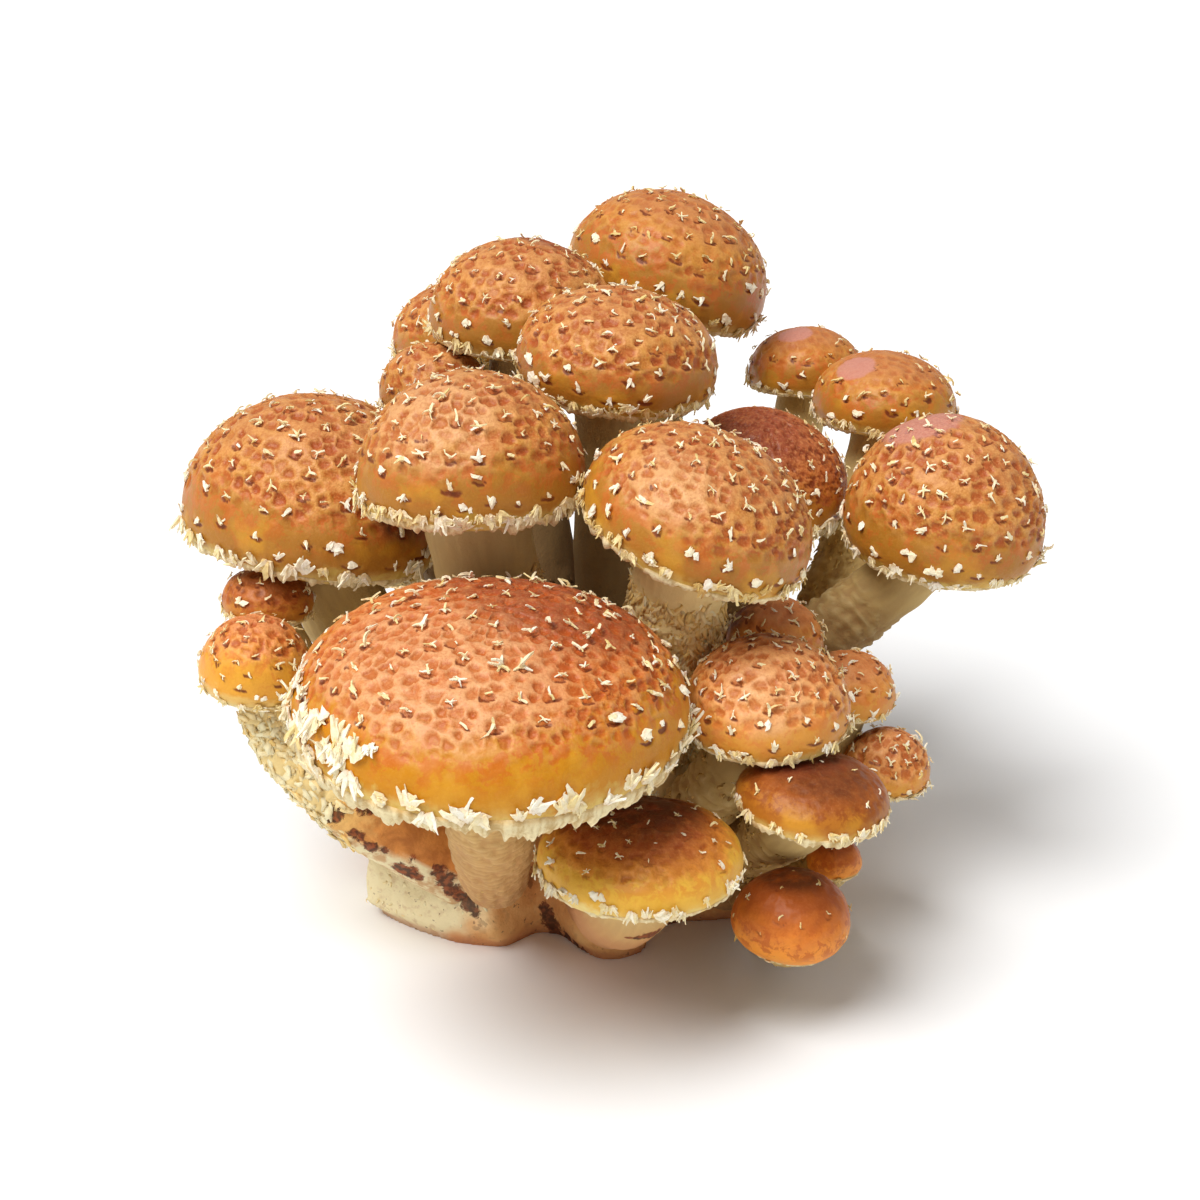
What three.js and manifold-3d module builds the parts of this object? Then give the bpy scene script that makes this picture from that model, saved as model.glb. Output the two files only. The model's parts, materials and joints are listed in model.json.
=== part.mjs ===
// Chestnut mushroom: one grown cluster of scaly orange mushrooms on a shared
// fleshy base. Millimetres, +Z up. The origin is the centre of the flat cut
// underneath, where the cluster was taken off the wood that it grew on.

import * as THREE from 'three';
import { mergeVertices } from 'three/addons/utils/BufferGeometryUtils.js';
import Module from 'manifold-3d';

const wasm = await Module();
wasm.setup();

// Driving dimensions

const GAP = 0.3; // clearance between pieces that touch
const LOBE = 0.6; // depth of a cap's rolled-in margin, as a share of its radius
const GILL_RISE = 0.1; // how far the gills rise towards the stem, as a share of the radius
const STEM_SINK = 0.14; // how far a stem reaches up into its cap, as a share of the radius
const NECK_SHARE = 0.3; // stretch of stem that lines up with the cap, as a share of its length
const SCALE_LIFT = 1.3; // height of a cap scale
const SCALE_REACH = 0.6; // widest a scale may be, as a share of the face it rises from
const SCALE_DROOP = 0.8; // how far a scale's tip leans down the cap, as a share of its size
const SCALE_SPREAD = 0.97; // how far down the dome the scales go, 1 for all the way to the widest place
const GOLDEN_ANGLE = 137.5; // turn from one cap scale to the next
const RING_SPREAD = 0.85; // below 1, a cap's rings crowd towards its margin
const TOOTH = 0.035; // height of the fringe's teeth, as a share of the radius
const GILL_RING = 0.62; // how far out the gills' ridges start, as a share of the rim
const GILL_RING_RISE = 0.7; // height of that ring, as a share of the gills' rise
const GILL_RIDGE = 0.4; // depth of a gill ridge, as a share of the gills' rise
const STEM_SPLAY = 0.35; // how far a plain stem leans outwards as it leaves the base
const STEM_CLIMB = 22; // how far up it goes for that lean
const ELBOW_SHARE = 0.4; // how far along a plain stem its elbow lies
const NECK_PULL = 0.6; // how much the stem's own direction turns its neck off the cap's axis
const STEM_STEP = 21; // length of one ring of a stem
const LEDGE_OUT = 0.06; // how far a ledge stands out, as a share of the stem's radius
const LEDGE_IN = -0.02; // how far the skin sinks between ledges
const SMOOTH_NECK = 0.8; // share of the stem's height above which it has no ledges
const BASE_LUMP = 0.05; // how far the base's side bulges in and out, as a share of its reach
const LUMP_TURN = 2.1; // turn of the bulges from one side to the next, in radians

const CAP_COLOURS = { orange: 0xc96a28, russet: 0x9c3f24, honey: 0xcf8428, brown: 0xb0602a };
const STEM_COLOUR = 0xc9b284;
const BASE_COLOUR = 0xcda788;

// One entry for each mushroom. `at` is the middle of the cap at its widest,
// `lean` and `toward` tilt the cap's axis off vertical and aim that tilt (degrees
// from +X), `dome` is the cap's height over its radius, and `curl` is how far
// round the margin rolls under. The stem runs from `foot` past `elbow` to the
// cap, `stem` holds its radius at the cap and at the foot, and `scales` is the
// number of large scales on the cap.
const MUSHROOMS = [
  { name: 'front_large', at: [-16, -46.6, 55], radius: 29, lean: 4, toward: -40, dome: 0.56, curl: 101,
    foot: [-17, -19, 11], elbow: [-17, -33, 19], stem: [8.4, 4.6], scales: 36, colour: 'orange' },
  { name: 'centre_left', at: [-20, -14, 79.3], radius: 17.5, lean: 2, toward: 90, dome: 0.94, curl: 107,
    foot: [-8, -5, 13], stem: [8.4, 7], scales: 19, colour: 'orange' },
  { name: 'left_large', at: [-47.6, 10, 64], radius: 21.5, lean: 9, toward: 24, dome: 0.95, curl: 110,
    foot: [-22, 5, 10], elbow: [-33, 14, 32], stem: [8, 6.5], scales: 22, colour: 'orange' },
  { name: 'centre_right', at: [14.5, -24, 75.4], radius: 18, lean: 20, toward: -14, dome: 0.78, curl: 105,
    foot: [8, -9, 12], stem: [7.6, 4.8], scales: 19, colour: 'orange' },
  { name: 'right_large', at: [56.5, 5, 64.8], radius: 16.8, lean: 8, toward: -50, dome: 1.06, curl: 114,
    foot: [24, 2, 10], elbow: [26, 3, 48], stem: [5.4, 5.6], scales: 19, colour: 'orange' },
  { name: 'top_back', at: [12.4, 58, 93], radius: 18.8, lean: 19, toward: 8, dome: 0.8, curl: 112,
    foot: [6, 22, 12], stem: [6.5, 6], scales: 17, colour: 'orange' },
  { name: 'top_front', at: [2.5, 8, 91.5], radius: 16.5, lean: 8, toward: -24, dome: 0.7, curl: 112,
    foot: [2, 6, 14], stem: [6, 6], scales: 15, colour: 'orange' },
  { name: 'top_left', at: [-13.2, 36, 91], radius: 16, lean: 5, toward: 0, dome: 0.85, curl: 110,
    foot: [-6, 15, 14], stem: [6, 5.5], scales: 14, colour: 'orange' },
  { name: 'front_low', at: [6, -50, 31.5], radius: 15, lean: 1, toward: -60, dome: 0.52, curl: 100,
    foot: [1, -17, 7], elbow: [2, -31, 12.5], stem: [7, 6.5], scales: 9, colour: 'honey' },
  { name: 'centre_back', at: [27.2, 19, 66.2], radius: 14.6, lean: 9, toward: -20, dome: 0.9, curl: 108,
    foot: [16, 8, 12], stem: [5.5, 5], scales: 8, colour: 'russet' },
  { name: 'top_left_back', at: [-24.6, 62, 80.8], radius: 13.8, lean: 7, toward: 146, dome: 0.75, curl: 110,
    foot: [-10, 24, 10], stem: [5.5, 5], scales: 9, colour: 'orange' },
  { name: 'right_back', at: [50, 36, 75], radius: 13, lean: 7, toward: 57, dome: 0.75, curl: 108,
    foot: [26, 14, 10], stem: [5, 4.5], scales: 8, colour: 'orange' },
  { name: 'right_front', at: [25.5, -32, 48], radius: 13, lean: 6, toward: -90, dome: 0.83, curl: 106,
    foot: [10, -14, 8], stem: [5.8, 4.5], scales: 10, colour: 'orange' },
  { name: 'right_low', at: [32.2, -42, 37.8], radius: 11.5, lean: 6, toward: -20, dome: 0.5, curl: 100,
    foot: [20, -12, 5], stem: [5.2, 4.5], scales: 5, colour: 'honey' },
  { name: 'far_right_back', at: [37.6, 56, 75], radius: 10.4, lean: 6, toward: 90, dome: 0.85, curl: 108,
    foot: [18, 22, 10], stem: [4.5, 4.5], scales: 7, colour: 'orange' },
  { name: 'left_behind', at: [-28.5, 30, 79.5], radius: 9.5, lean: 2, toward: 90, dome: 0.9, curl: 108,
    foot: [-18, 14, 12], stem: [4.6, 4.5], scales: 6, colour: 'orange' },
  { name: 'left_small', at: [-54.3, -20, 48.7], radius: 8.9, lean: 6, toward: 0, dome: 1.05, curl: 116,
    foot: [-22, -15, 13], elbow: [-37, -20, 23], stem: [3.6, 8], scales: 7, colour: 'orange' },
  { name: 'left_upper_small', at: [-54.5, -3, 54], radius: 7.6, lean: 6, toward: 19, dome: 0.75, curl: 112,
    foot: [-27, -3, 8], stem: [4.5, 4.5], scales: 5, colour: 'honey' },
  { name: 'right_under', at: [28.5, -7, 48.5], radius: 8.2, lean: 2, toward: -90, dome: 0.9, curl: 112,
    foot: [16, -3, 12], stem: [4.5, 4.5], scales: 5, colour: 'brown' },
  { name: 'right_side', at: [40, -12, 41.5], radius: 7.8, lean: 4, toward: 0, dome: 0.9, curl: 112,
    foot: [25, -6, 8], stem: [4.2, 4], scales: 5, colour: 'brown' },
  { name: 'right_edge', at: [46.3, -16, 29.6], radius: 7, lean: 5, toward: -30, dome: 1.03, curl: 118,
    foot: [30, -4, 5], elbow: [31, -8, 20], stem: [3, 3.8], scales: 4, colour: 'orange' },
  { name: 'front_bud', at: [29.5, -42, 16.8], radius: 9, lean: 8, toward: -90, dome: 0.85, curl: 130,
    foot: [24, -10, 5], elbow: [28.5, -26, 9.5], stem: [4, 4], scales: 6, colour: 'brown' },
  { name: 'right_bud', at: [38, -22, 16], radius: 4.5, lean: 2, toward: 90, dome: 1, curl: 118,
    foot: [30, -10, 4], stem: [3, 3], scales: 3, colour: 'brown' },
  { name: 'back_left', at: [-34, 42, 42], radius: 9, lean: 20, toward: 120, dome: 0.9, curl: 108,
    foot: [-18, 24, 8], stem: [4.6, 4.4], scales: 6, colour: 'orange' },
  { name: 'back_right', at: [22, 50, 40], radius: 8, lean: 24, toward: 70, dome: 0.9, curl: 110,
    foot: [12, 26, 7], stem: [4.2, 4.2], scales: 5, colour: 'orange' },
  { name: 'back_bud', at: [-4, 46, 26], radius: 5.5, lean: 30, toward: 95, dome: 1, curl: 118,
    foot: [-3, 28, 5], stem: [3.4, 3.6], scales: 3, colour: 'brown' },
];

// The cut's outline: two lobes in front, a wider round at the sides and back.
const FOOTPRINT = [
  [36, 0], [31, 17], [17, 28], [0, 31], [-20, 29], [-36, 16], [-41, 2], [-39.5, -9], [-30, -18.5],
  [-18, -23.5], [-9.5, -17], [-5, -21.5], [1, -27.5], [7, -25], [10, -16], [19, -13.5], [30, -11],
];
// Height of each ring of the base clump, and its share of the footprint's reach.
const BASE_RINGS = [[0, 0.94], [3, 1], [10, 0.97], [17, 0.83], [23, 0.5]];
const BASE_TOP = 26;
const BASE_SIDES = 26;

// Small helpers

/** A closed skin from a pole, rings of equal length and a second pole, as points and faces. */
function ringedShape(start, rings, end) {
  const sides = rings[0].length;
  const points = [start, ...rings.flat(), end];
  const last = points.length - 1;
  const faces = [];
  for (let i = 0; i < sides; i++) {
    const next = (i + 1) % sides;
    faces.push([0, 1 + i, 1 + next]);
    for (let ring = 0; ring < rings.length - 1; ring++) {
      const here = 1 + ring * sides;
      const below = here + sides;
      faces.push([here + i, below + i, below + next]);
      faces.push([here + i, below + next, here + next]);
    }
    const rim = 1 + (rings.length - 1) * sides;
    faces.push([last, rim + next, rim + i]);
  }
  return { points, faces };
}

/** Points and faces as a geometry. */
function shapeGeometry({ points, faces }) {
  const geometry = new THREE.BufferGeometry();
  const numbers = points.flatMap((point) => point.toArray());
  geometry.setAttribute('position', new THREE.Float32BufferAttribute(numbers, 3));
  geometry.setIndex(faces.flat());
  geometry.computeVertexNormals();
  return geometry;
}

/** The geometry as a manifold solid, for joins and cuts. */
function toSolid(geometry) {
  const bare = geometry.clone();
  bare.deleteAttribute('normal');
  bare.deleteAttribute('uv');
  const merged = mergeVertices(bare);
  const vertProperties = Float32Array.from(merged.attributes.position.array);
  const triVerts = Uint32Array.from(merged.index.array);
  return new wasm.Manifold(new wasm.Mesh({ numProp: 3, vertProperties, triVerts }));
}

/** A manifold solid back as a geometry. */
function toGeometry(solid) {
  const mesh = solid.getMesh();
  const geometry = new THREE.BufferGeometry();
  geometry.setAttribute('position', new THREE.Float32BufferAttribute(mesh.vertProperties, 3));
  geometry.setIndex(Array.from(mesh.triVerts));
  geometry.computeVertexNormals();
  return geometry;
}

/** The biggest separate piece of a solid: slivers that a cut leaves are dropped. */
function mainPiece(solid) {
  return solid.decompose().reduce((best, piece) => (piece.volume() > best.volume() ? piece : best));
}

/** The solid with each neighbour that it meets cut away, and its main piece kept. */
function clearOf(solid, neighbours) {
  let result = solid;
  for (const neighbour of neighbours) {
    const meets = result.intersect(neighbour).volume() > 0;
    result = meets ? result.subtract(neighbour) : result;
  }
  return mainPiece(result);
}

function meshOf(name, geometry, colour, roughness) {
  const material = new THREE.MeshStandardMaterial({ color: colour, roughness, metalness: 0 });
  const mesh = new THREE.Mesh(geometry, material);
  mesh.name = name;
  return mesh;
}

// Caps

/** The unit direction of a mushroom's cap, up from its stem. */
function capAxis(mushroom) {
  const lean = THREE.MathUtils.degToRad(mushroom.lean);
  const toward = THREE.MathUtils.degToRad(mushroom.toward);
  const tilt = Math.sin(lean);
  return new THREE.Vector3(tilt * Math.cos(toward), tilt * Math.sin(toward), Math.cos(lean));
}

/** How wide the cap is in one direction, so that no two caps are true circles. */
function waviness(turn, seed) {
  return 1 + 0.02 * Math.sin(2 * turn + seed) + 0.015 * Math.sin(3 * turn + 2.3 * seed);
}

/** The point of the cap's skin at phi down from the top and turn round it, in the cap's own frame. */
function skinPoint(mushroom, seed, phi, turn, grow) {
  const radius = mushroom.radius + grow;
  const height = (phi < Math.PI / 2 ? mushroom.dome : LOBE) * radius;
  const reach = radius * Math.sin(phi) * waviness(turn, seed);
  return new THREE.Vector3(reach * Math.cos(turn), reach * Math.sin(turn), height * Math.cos(phi));
}

/** Rings and sides for a cap of this size. */
function capDetail(radius) {
  if (radius > 25) return { rings: 6, sides: 26 };
  if (radius > 14) return { rings: 5, sides: 18 };
  if (radius > 9.2) return { rings: 4, sides: 14 };
  return { rings: 3, sides: 10 };
}

/** Height of the cap's rim plane in the cap's own frame. */
function rimHeight(mushroom) {
  return LOBE * mushroom.radius * Math.cos(THREE.MathUtils.degToRad(mushroom.curl));
}

/** The bare cap: dome, rolled margin with a toothed fringe, and ridged gills. */
function bareCap(mushroom, seed, grow) {
  const { rings, sides } = capDetail(mushroom.radius);
  const curl = THREE.MathUtils.degToRad(mushroom.curl);
  const tooth = TOOTH * mushroom.radius;
  const skin = [];
  for (let ring = 1; ring <= rings; ring++) {
    const phi = curl * Math.pow(ring / rings, RING_SPREAD);
    const points = [];
    for (let i = 0; i < sides; i++) {
      const turn = (2 * Math.PI * i) / sides;
      const point = skinPoint(mushroom, seed, phi, turn, grow);
      if (ring === rings) point.z += i % 2 ? tooth : -tooth;
      points.push(point);
    }
    skin.push(points);
  }
  const rise = GILL_RISE * mushroom.radius;
  const rim = rimHeight(mushroom) - grow;
  const gills = skin[rings - 1].map((point, i) => {
    const ridge = i % 2 ? GILL_RIDGE * rise : 0;
    return new THREE.Vector3(point.x * GILL_RING, point.y * GILL_RING, rim + GILL_RING_RISE * rise - ridge);
  });
  const top = skinPoint(mushroom, seed, 0, 0, grow);
  return ringedShape(top, [...skin, gills], new THREE.Vector3(0, 0, rim + rise));
}

/** Raises one scale out of a face: a small pyramid whose tip leans down the cap. */
function raiseScale(shape, faceIndex, size) {
  const corners = shape.faces[faceIndex];
  const [a, b, c] = corners.map((corner) => shape.points[corner]);
  const middle = a.clone().add(b).add(c).divideScalar(3);
  const out = b.clone().sub(a).cross(c.clone().sub(a)).normalize();
  const down = new THREE.Vector3(middle.x, middle.y, 0).projectOnPlane(out).normalize();
  const first = shape.points.length;
  for (const corner of [a, b, c]) {
    const reach = Math.min(SCALE_REACH, size / corner.distanceTo(middle));
    shape.points.push(middle.clone().lerp(corner, reach));
  }
  const tip = shape.points.length;
  shape.points.push(
    middle.clone().addScaledVector(out, SCALE_LIFT).addScaledVector(down, SCALE_DROOP * size),
  );
  const sides = [0, 1, 2].flatMap((i) => {
    const next = (i + 1) % 3;
    const inner = first + i;
    const innerNext = first + next;
    return [
      [corners[i], corners[next], innerNext],
      [corners[i], innerNext, inner],
      [inner, innerNext, tip],
    ];
  });
  shape.faces.splice(faceIndex, 1, ...sides);
}

/** The face of the cap whose middle lies nearest to a point, kept off the margin and the gills. */
function nearestFace(shape, target) {
  let best = -1;
  let bestDistance = Infinity;
  shape.faces.forEach(([a, b, c], index) => {
    const middle = shape.points[a].clone().add(shape.points[b]).add(shape.points[c]).divideScalar(3);
    const distance = middle.distanceTo(target);
    if (middle.z > 0 && distance < bestDistance) {
      best = index;
      bestDistance = distance;
    }
  });
  return best;
}

/** The whole cap in its own frame, with its large scales spread over it on a golden spiral. */
function capShape(mushroom, seed, grow) {
  const shape = bareCap(mushroom, seed, grow);
  for (let index = 0; index < mushroom.scales; index++) {
    const share = (index + 0.6) / mushroom.scales;
    const phi = Math.acos(1 - SCALE_SPREAD * share);
    const turn = THREE.MathUtils.degToRad(index * GOLDEN_ANGLE);
    const size = (0.7 + 0.04 * mushroom.radius) * (0.8 + 0.4 * share);
    raiseScale(shape, nearestFace(shape, skinPoint(mushroom, seed, phi, turn, grow)), size);
  }
  return shape;
}

/** The cap as a solid where it grows in the cluster, `grow` larger all round. */
function placedCap(mushroom, seed, grow) {
  return toSolid(shapeGeometry(capShape(mushroom, seed, grow))).transform(capMatrix(mushroom).elements);
}

/** The place and tilt of a cap, as a matrix. */
function capMatrix(mushroom) {
  const tilt = new THREE.Quaternion().setFromUnitVectors(new THREE.Vector3(0, 0, 1), capAxis(mushroom));
  return new THREE.Matrix4().compose(new THREE.Vector3(...mushroom.at), tilt, new THREE.Vector3(1, 1, 1));
}

// Stems

/** The stem's centre line: out of the base at the foot, past the elbow, square into the cap. */
function stemCurve(mushroom) {
  const axis = capAxis(mushroom);
  const foot = new THREE.Vector3(...mushroom.foot);
  const reach = rimHeight(mushroom) + STEM_SINK * mushroom.radius;
  const top = new THREE.Vector3(...mushroom.at).addScaledVector(axis, reach);
  const span = foot.distanceTo(top);
  const rise = new THREE.Vector3(STEM_SPLAY * foot.x, STEM_SPLAY * foot.y, STEM_CLIMB).normalize();
  const elbow = mushroom.elbow
    ? new THREE.Vector3(...mushroom.elbow)
    : foot.clone().addScaledVector(rise, ELBOW_SHARE * span);
  const into = top.clone().sub(elbow).normalize().multiplyScalar(NECK_PULL).add(axis).normalize();
  const neck = top.clone().addScaledVector(into, -NECK_SHARE * span);
  return new THREE.CubicBezierCurve3(foot, elbow, neck, top);
}

/** The stem: a tapering tube with shallow shaggy ledges below its smooth neck. */
function stemGeometry(mushroom, grow = 0) {
  const curve = stemCurve(mushroom);
  const [topRadius, footRadius] = mushroom.stem;
  const sides = mushroom.radius > 14 ? 7 : 6;
  const steps = Math.max(3, Math.round(curve.getLength() / STEM_STEP));
  const rings = [];
  for (let step = 0; step <= steps; step++) {
    const share = step / steps;
    const centre = curve.getPoint(share);
    const ahead = curve.getTangent(share);
    const side = new THREE.Vector3(0, 1, 0).cross(ahead).normalize();
    const across = ahead.clone().cross(side);
    const radius = THREE.MathUtils.lerp(footRadius, topRadius, share) + grow;
    const points = [];
    for (let i = 0; i < sides; i++) {
      const turn = (2 * Math.PI * i) / sides;
      const ledge = share < SMOOTH_NECK && (i + step) % 2 ? LEDGE_OUT : LEDGE_IN;
      const reach = radius * (1 + ledge);
      points.push(centre.clone()
        .addScaledVector(side, reach * Math.cos(turn))
        .addScaledVector(across, reach * Math.sin(turn)));
    }
    rings.push(points.reverse());
  }
  return shapeGeometry(ringedShape(curve.getPoint(0), rings, curve.getPoint(1)));
}

// Base clump

/** The shared base: a lumpy mound that is cut off flat at z = 0. */
function baseGeometry(grow = 0) {
  const outline = new THREE.CatmullRomCurve3(FOOTPRINT.map(([x, y]) => new THREE.Vector3(x, y, 0)), true);
  const rings = BASE_RINGS.map(([height, share]) => {
    const points = [];
    for (let i = 0; i < BASE_SIDES; i++) {
      const edge = outline.getPoint(i / BASE_SIDES);
      const lump = height > 0 ? 1 + BASE_LUMP * Math.sin(i * LUMP_TURN + height) : 1;
      const reach = edge.length() * share * lump + grow;
      edge.setLength(reach);
      points.push(new THREE.Vector3(edge.x, edge.y, height > 0 ? height + grow : -grow));
    }
    return points.reverse();
  });
  const bottom = new THREE.Vector3(0, 0, -grow);
  const top = new THREE.Vector3(0, 0, BASE_TOP + grow);
  return shapeGeometry(ringedShape(bottom, rings, top));
}

// Assembly

function buildCluster() {
  const cluster = new THREE.Group();
  const grownCaps = MUSHROOMS.map((mushroom, seed) => placedCap(mushroom, seed, GAP));
  const grownBase = toSolid(baseGeometry(GAP));
  const grownStems = [];
  cluster.add(meshOf('base_clump', baseGeometry(), BASE_COLOUR, 0.8));

  MUSHROOMS.forEach((mushroom, seed) => {
    const capSolid = clearOf(placedCap(mushroom, seed, 0), grownCaps.slice(0, seed));
    const place = capMatrix(mushroom);
    const ownFrame = place.clone().invert().elements;
    const cap = meshOf(`${mushroom.name}_cap`, toGeometry(capSolid.transform(ownFrame)),
      CAP_COLOURS[mushroom.colour], 0.4);
    cap.applyMatrix4(place);

    const stemSolid = clearOf(toSolid(stemGeometry(mushroom)), [...grownCaps, grownBase, ...grownStems]);
    grownStems.push(toSolid(stemGeometry(mushroom, GAP)));
    const stem = meshOf(`${mushroom.name}_stem`, toGeometry(stemSolid), STEM_COLOUR, 0.75);

    const group = new THREE.Group();
    group.add(cap, stem);
    cluster.add(group);
  });
  return cluster;
}

export default buildCluster();
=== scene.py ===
# %% [markdown]
# # A cluster of chestnut mushrooms
# Twenty-six young mushrooms grow from one fleshy base. Their caps are sticky and orange, with small
# cream scales, a ragged fringe round the rim and pale gills below, and their stems are shaggy.
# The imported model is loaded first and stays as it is: every piece made here takes its place from it.

# %% Load the frame
import json
import math
from collections import namedtuple
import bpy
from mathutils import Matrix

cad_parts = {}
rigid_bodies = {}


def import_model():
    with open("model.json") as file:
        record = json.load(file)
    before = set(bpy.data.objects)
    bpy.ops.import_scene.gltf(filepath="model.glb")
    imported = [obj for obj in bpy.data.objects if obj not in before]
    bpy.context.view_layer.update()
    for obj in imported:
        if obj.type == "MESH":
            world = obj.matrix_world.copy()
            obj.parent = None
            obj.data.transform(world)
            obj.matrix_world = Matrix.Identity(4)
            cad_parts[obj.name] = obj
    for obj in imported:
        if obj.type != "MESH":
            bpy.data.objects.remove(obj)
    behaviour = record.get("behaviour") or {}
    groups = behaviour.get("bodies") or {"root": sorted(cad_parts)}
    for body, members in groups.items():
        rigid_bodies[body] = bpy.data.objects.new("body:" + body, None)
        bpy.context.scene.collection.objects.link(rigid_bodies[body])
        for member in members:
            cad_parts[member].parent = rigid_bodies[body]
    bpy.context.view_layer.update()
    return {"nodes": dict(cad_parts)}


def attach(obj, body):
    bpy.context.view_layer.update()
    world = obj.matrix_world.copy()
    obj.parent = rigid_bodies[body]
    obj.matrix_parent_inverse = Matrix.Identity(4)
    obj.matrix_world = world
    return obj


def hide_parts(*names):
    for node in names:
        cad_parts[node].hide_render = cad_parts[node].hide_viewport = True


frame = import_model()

from types import SimpleNamespace

import bmesh
import bpy
import numpy as np
from mathutils import Matrix, Vector, noise
from mathutils.kdtree import KDTree

scene = bpy.context.scene
print("solids in the frame:", len(frame["nodes"]))

# %% [markdown]
# ## The mushrooms
# Each mushroom is a row of real sizes in millimetres: the middle of its cap, the cap's radius, how far
# it leans and towards where, how high its dome is for its radius, how far its rim curls under, where its
# stem starts and bends, how thick the stem is above and below, and how many scales its solid carries.
# The solids were made from the same rows, so a skin made here lies on its solid. No two mushrooms look
# the same, so each later step first says how they usually look there and which ones differ.

# %% Sizes of every mushroom
MM = 0.001
LOBE = 0.6
GILL_RISE = 0.1
STEM_SINK = 0.14
NECK_SHARE = 0.3
GOLDEN_ANGLE = math.radians(137.5)

SIZES = "name at radius lean toward dome curl foot elbow top_radius foot_radius scales colour"
ROWS = (
    ("front_large", (-16, -46.6, 55), 29, 4, -40, 0.56, 101,
     (-17, -19, 11), (-17, -33, 19), 8.4, 4.6, 36, "orange"),
    ("centre_left", (-20, -14, 79.3), 17.5, 2, 90, 0.94, 107, (-8, -5, 13), None, 8.4, 7, 19, "orange"),
    ("left_large", (-47.6, 10, 64), 21.5, 9, 24, 0.95, 110,
     (-22, 5, 10), (-33, 14, 32), 8, 6.5, 22, "orange"),
    ("centre_right", (14.5, -24, 75.4), 18, 20, -14, 0.78, 105, (8, -9, 12), None, 7.6, 4.8, 19, "orange"),
    ("right_large", (56.5, 5, 64.8), 16.8, 8, -50, 1.06, 114,
     (24, 2, 10), (26, 3, 48), 5.4, 5.6, 19, "orange"),
    ("top_back", (12.4, 58, 93), 18.8, 19, 8, 0.8, 112, (6, 22, 12), None, 6.5, 6, 17, "orange"),
    ("top_front", (2.5, 8, 91.5), 16.5, 8, -24, 0.7, 112, (2, 6, 14), None, 6, 6, 15, "orange"),
    ("top_left", (-13.2, 36, 91), 16, 5, 0, 0.85, 110, (-6, 15, 14), None, 6, 5.5, 14, "orange"),
    ("front_low", (6, -50, 31.5), 15, 1, -60, 0.52, 100, (1, -17, 7), (2, -31, 12.5), 7, 6.5, 9, "honey"),
    ("centre_back", (27.2, 19, 66.2), 14.6, 9, -20, 0.9, 108, (16, 8, 12), None, 5.5, 5, 8, "russet"),
    ("top_left_back", (-24.6, 62, 80.8), 13.8, 7, 146, 0.75, 110, (-10, 24, 10), None, 5.5, 5, 9, "orange"),
    ("right_back", (50, 36, 75), 13, 7, 57, 0.75, 108, (26, 14, 10), None, 5, 4.5, 8, "orange"),
    ("right_front", (25.5, -32, 48), 13, 6, -90, 0.83, 106, (10, -14, 8), None, 5.8, 4.5, 10, "orange"),
    ("right_low", (32.2, -42, 37.8), 11.5, 6, -20, 0.5, 100, (20, -12, 5), None, 5.2, 4.5, 5, "honey"),
    ("far_right_back", (37.6, 56, 75), 10.4, 6, 90, 0.85, 108, (18, 22, 10), None, 4.5, 4.5, 7, "orange"),
    ("left_behind", (-28.5, 30, 79.5), 9.5, 2, 90, 0.9, 108, (-18, 14, 12), None, 4.6, 4.5, 6, "orange"),
    ("left_small", (-54.3, -20, 48.7), 8.9, 6, 0, 1.05, 116,
     (-22, -15, 13), (-37, -20, 23), 3.6, 8, 7, "orange"),
    ("left_upper_small", (-54.5, -3, 54), 7.6, 6, 19, 0.75, 112, (-27, -3, 8), None, 4.5, 4.5, 5, "honey"),
    ("right_under", (28.5, -7, 48.5), 8.2, 2, -90, 0.9, 112, (16, -3, 12), None, 4.5, 4.5, 5, "brown"),
    ("right_side", (40, -12, 41.5), 7.8, 4, 0, 0.9, 112, (25, -6, 8), None, 4.2, 4, 5, "brown"),
    ("right_edge", (46.3, -16, 29.6), 7, 5, -30, 1.03, 118, (30, -4, 5), (31, -8, 20), 3, 3.8, 4, "orange"),
    ("front_bud", (29.5, -42, 16.8), 9, 8, -90, 0.85, 130, (24, -10, 5), (28.5, -26, 9.5), 4, 4, 6, "brown"),
    ("right_bud", (38, -22, 16), 4.5, 2, 90, 1, 118, (30, -10, 4), None, 3, 3, 3, "brown"),
    ("back_left", (-34, 42, 42), 9, 20, 120, 0.9, 108, (-18, 24, 8), None, 4.6, 4.4, 6, "orange"),
    ("back_right", (22, 50, 40), 8, 24, 70, 0.9, 110, (12, 26, 7), None, 4.2, 4.2, 5, "orange"),
    ("back_bud", (-4, 46, 26), 5.5, 30, 95, 1, 118, (-3, 28, 5), None, 3.4, 3.6, 3, "brown"),
)
MUSHROOMS = []
for seed, row in enumerate(ROWS):
    mushroom = SimpleNamespace(seed=seed, **dict(zip(SIZES.split(), row)))
    mushroom.curl = math.radians(mushroom.curl)
    MUSHROOMS.append(mushroom)
print("mushrooms:", len(MUSHROOMS))


def tell_apart(usual, **own):
    """Gives every mushroom the usual looks for a step, and its own where it has them."""
    for mushroom in MUSHROOMS:
        vars(mushroom).update({**usual, **own.get(mushroom.name, {})})
    print("with looks of their own in", ", ".join(usual) + ":", len(own))


# %% [markdown]
# ## Camera
# A long lens close to the table, a little above the caps, gives the view that the solids were laid out
# in. The picture is square, so the lens and sensor width alone decide how much it takes in.

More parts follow.
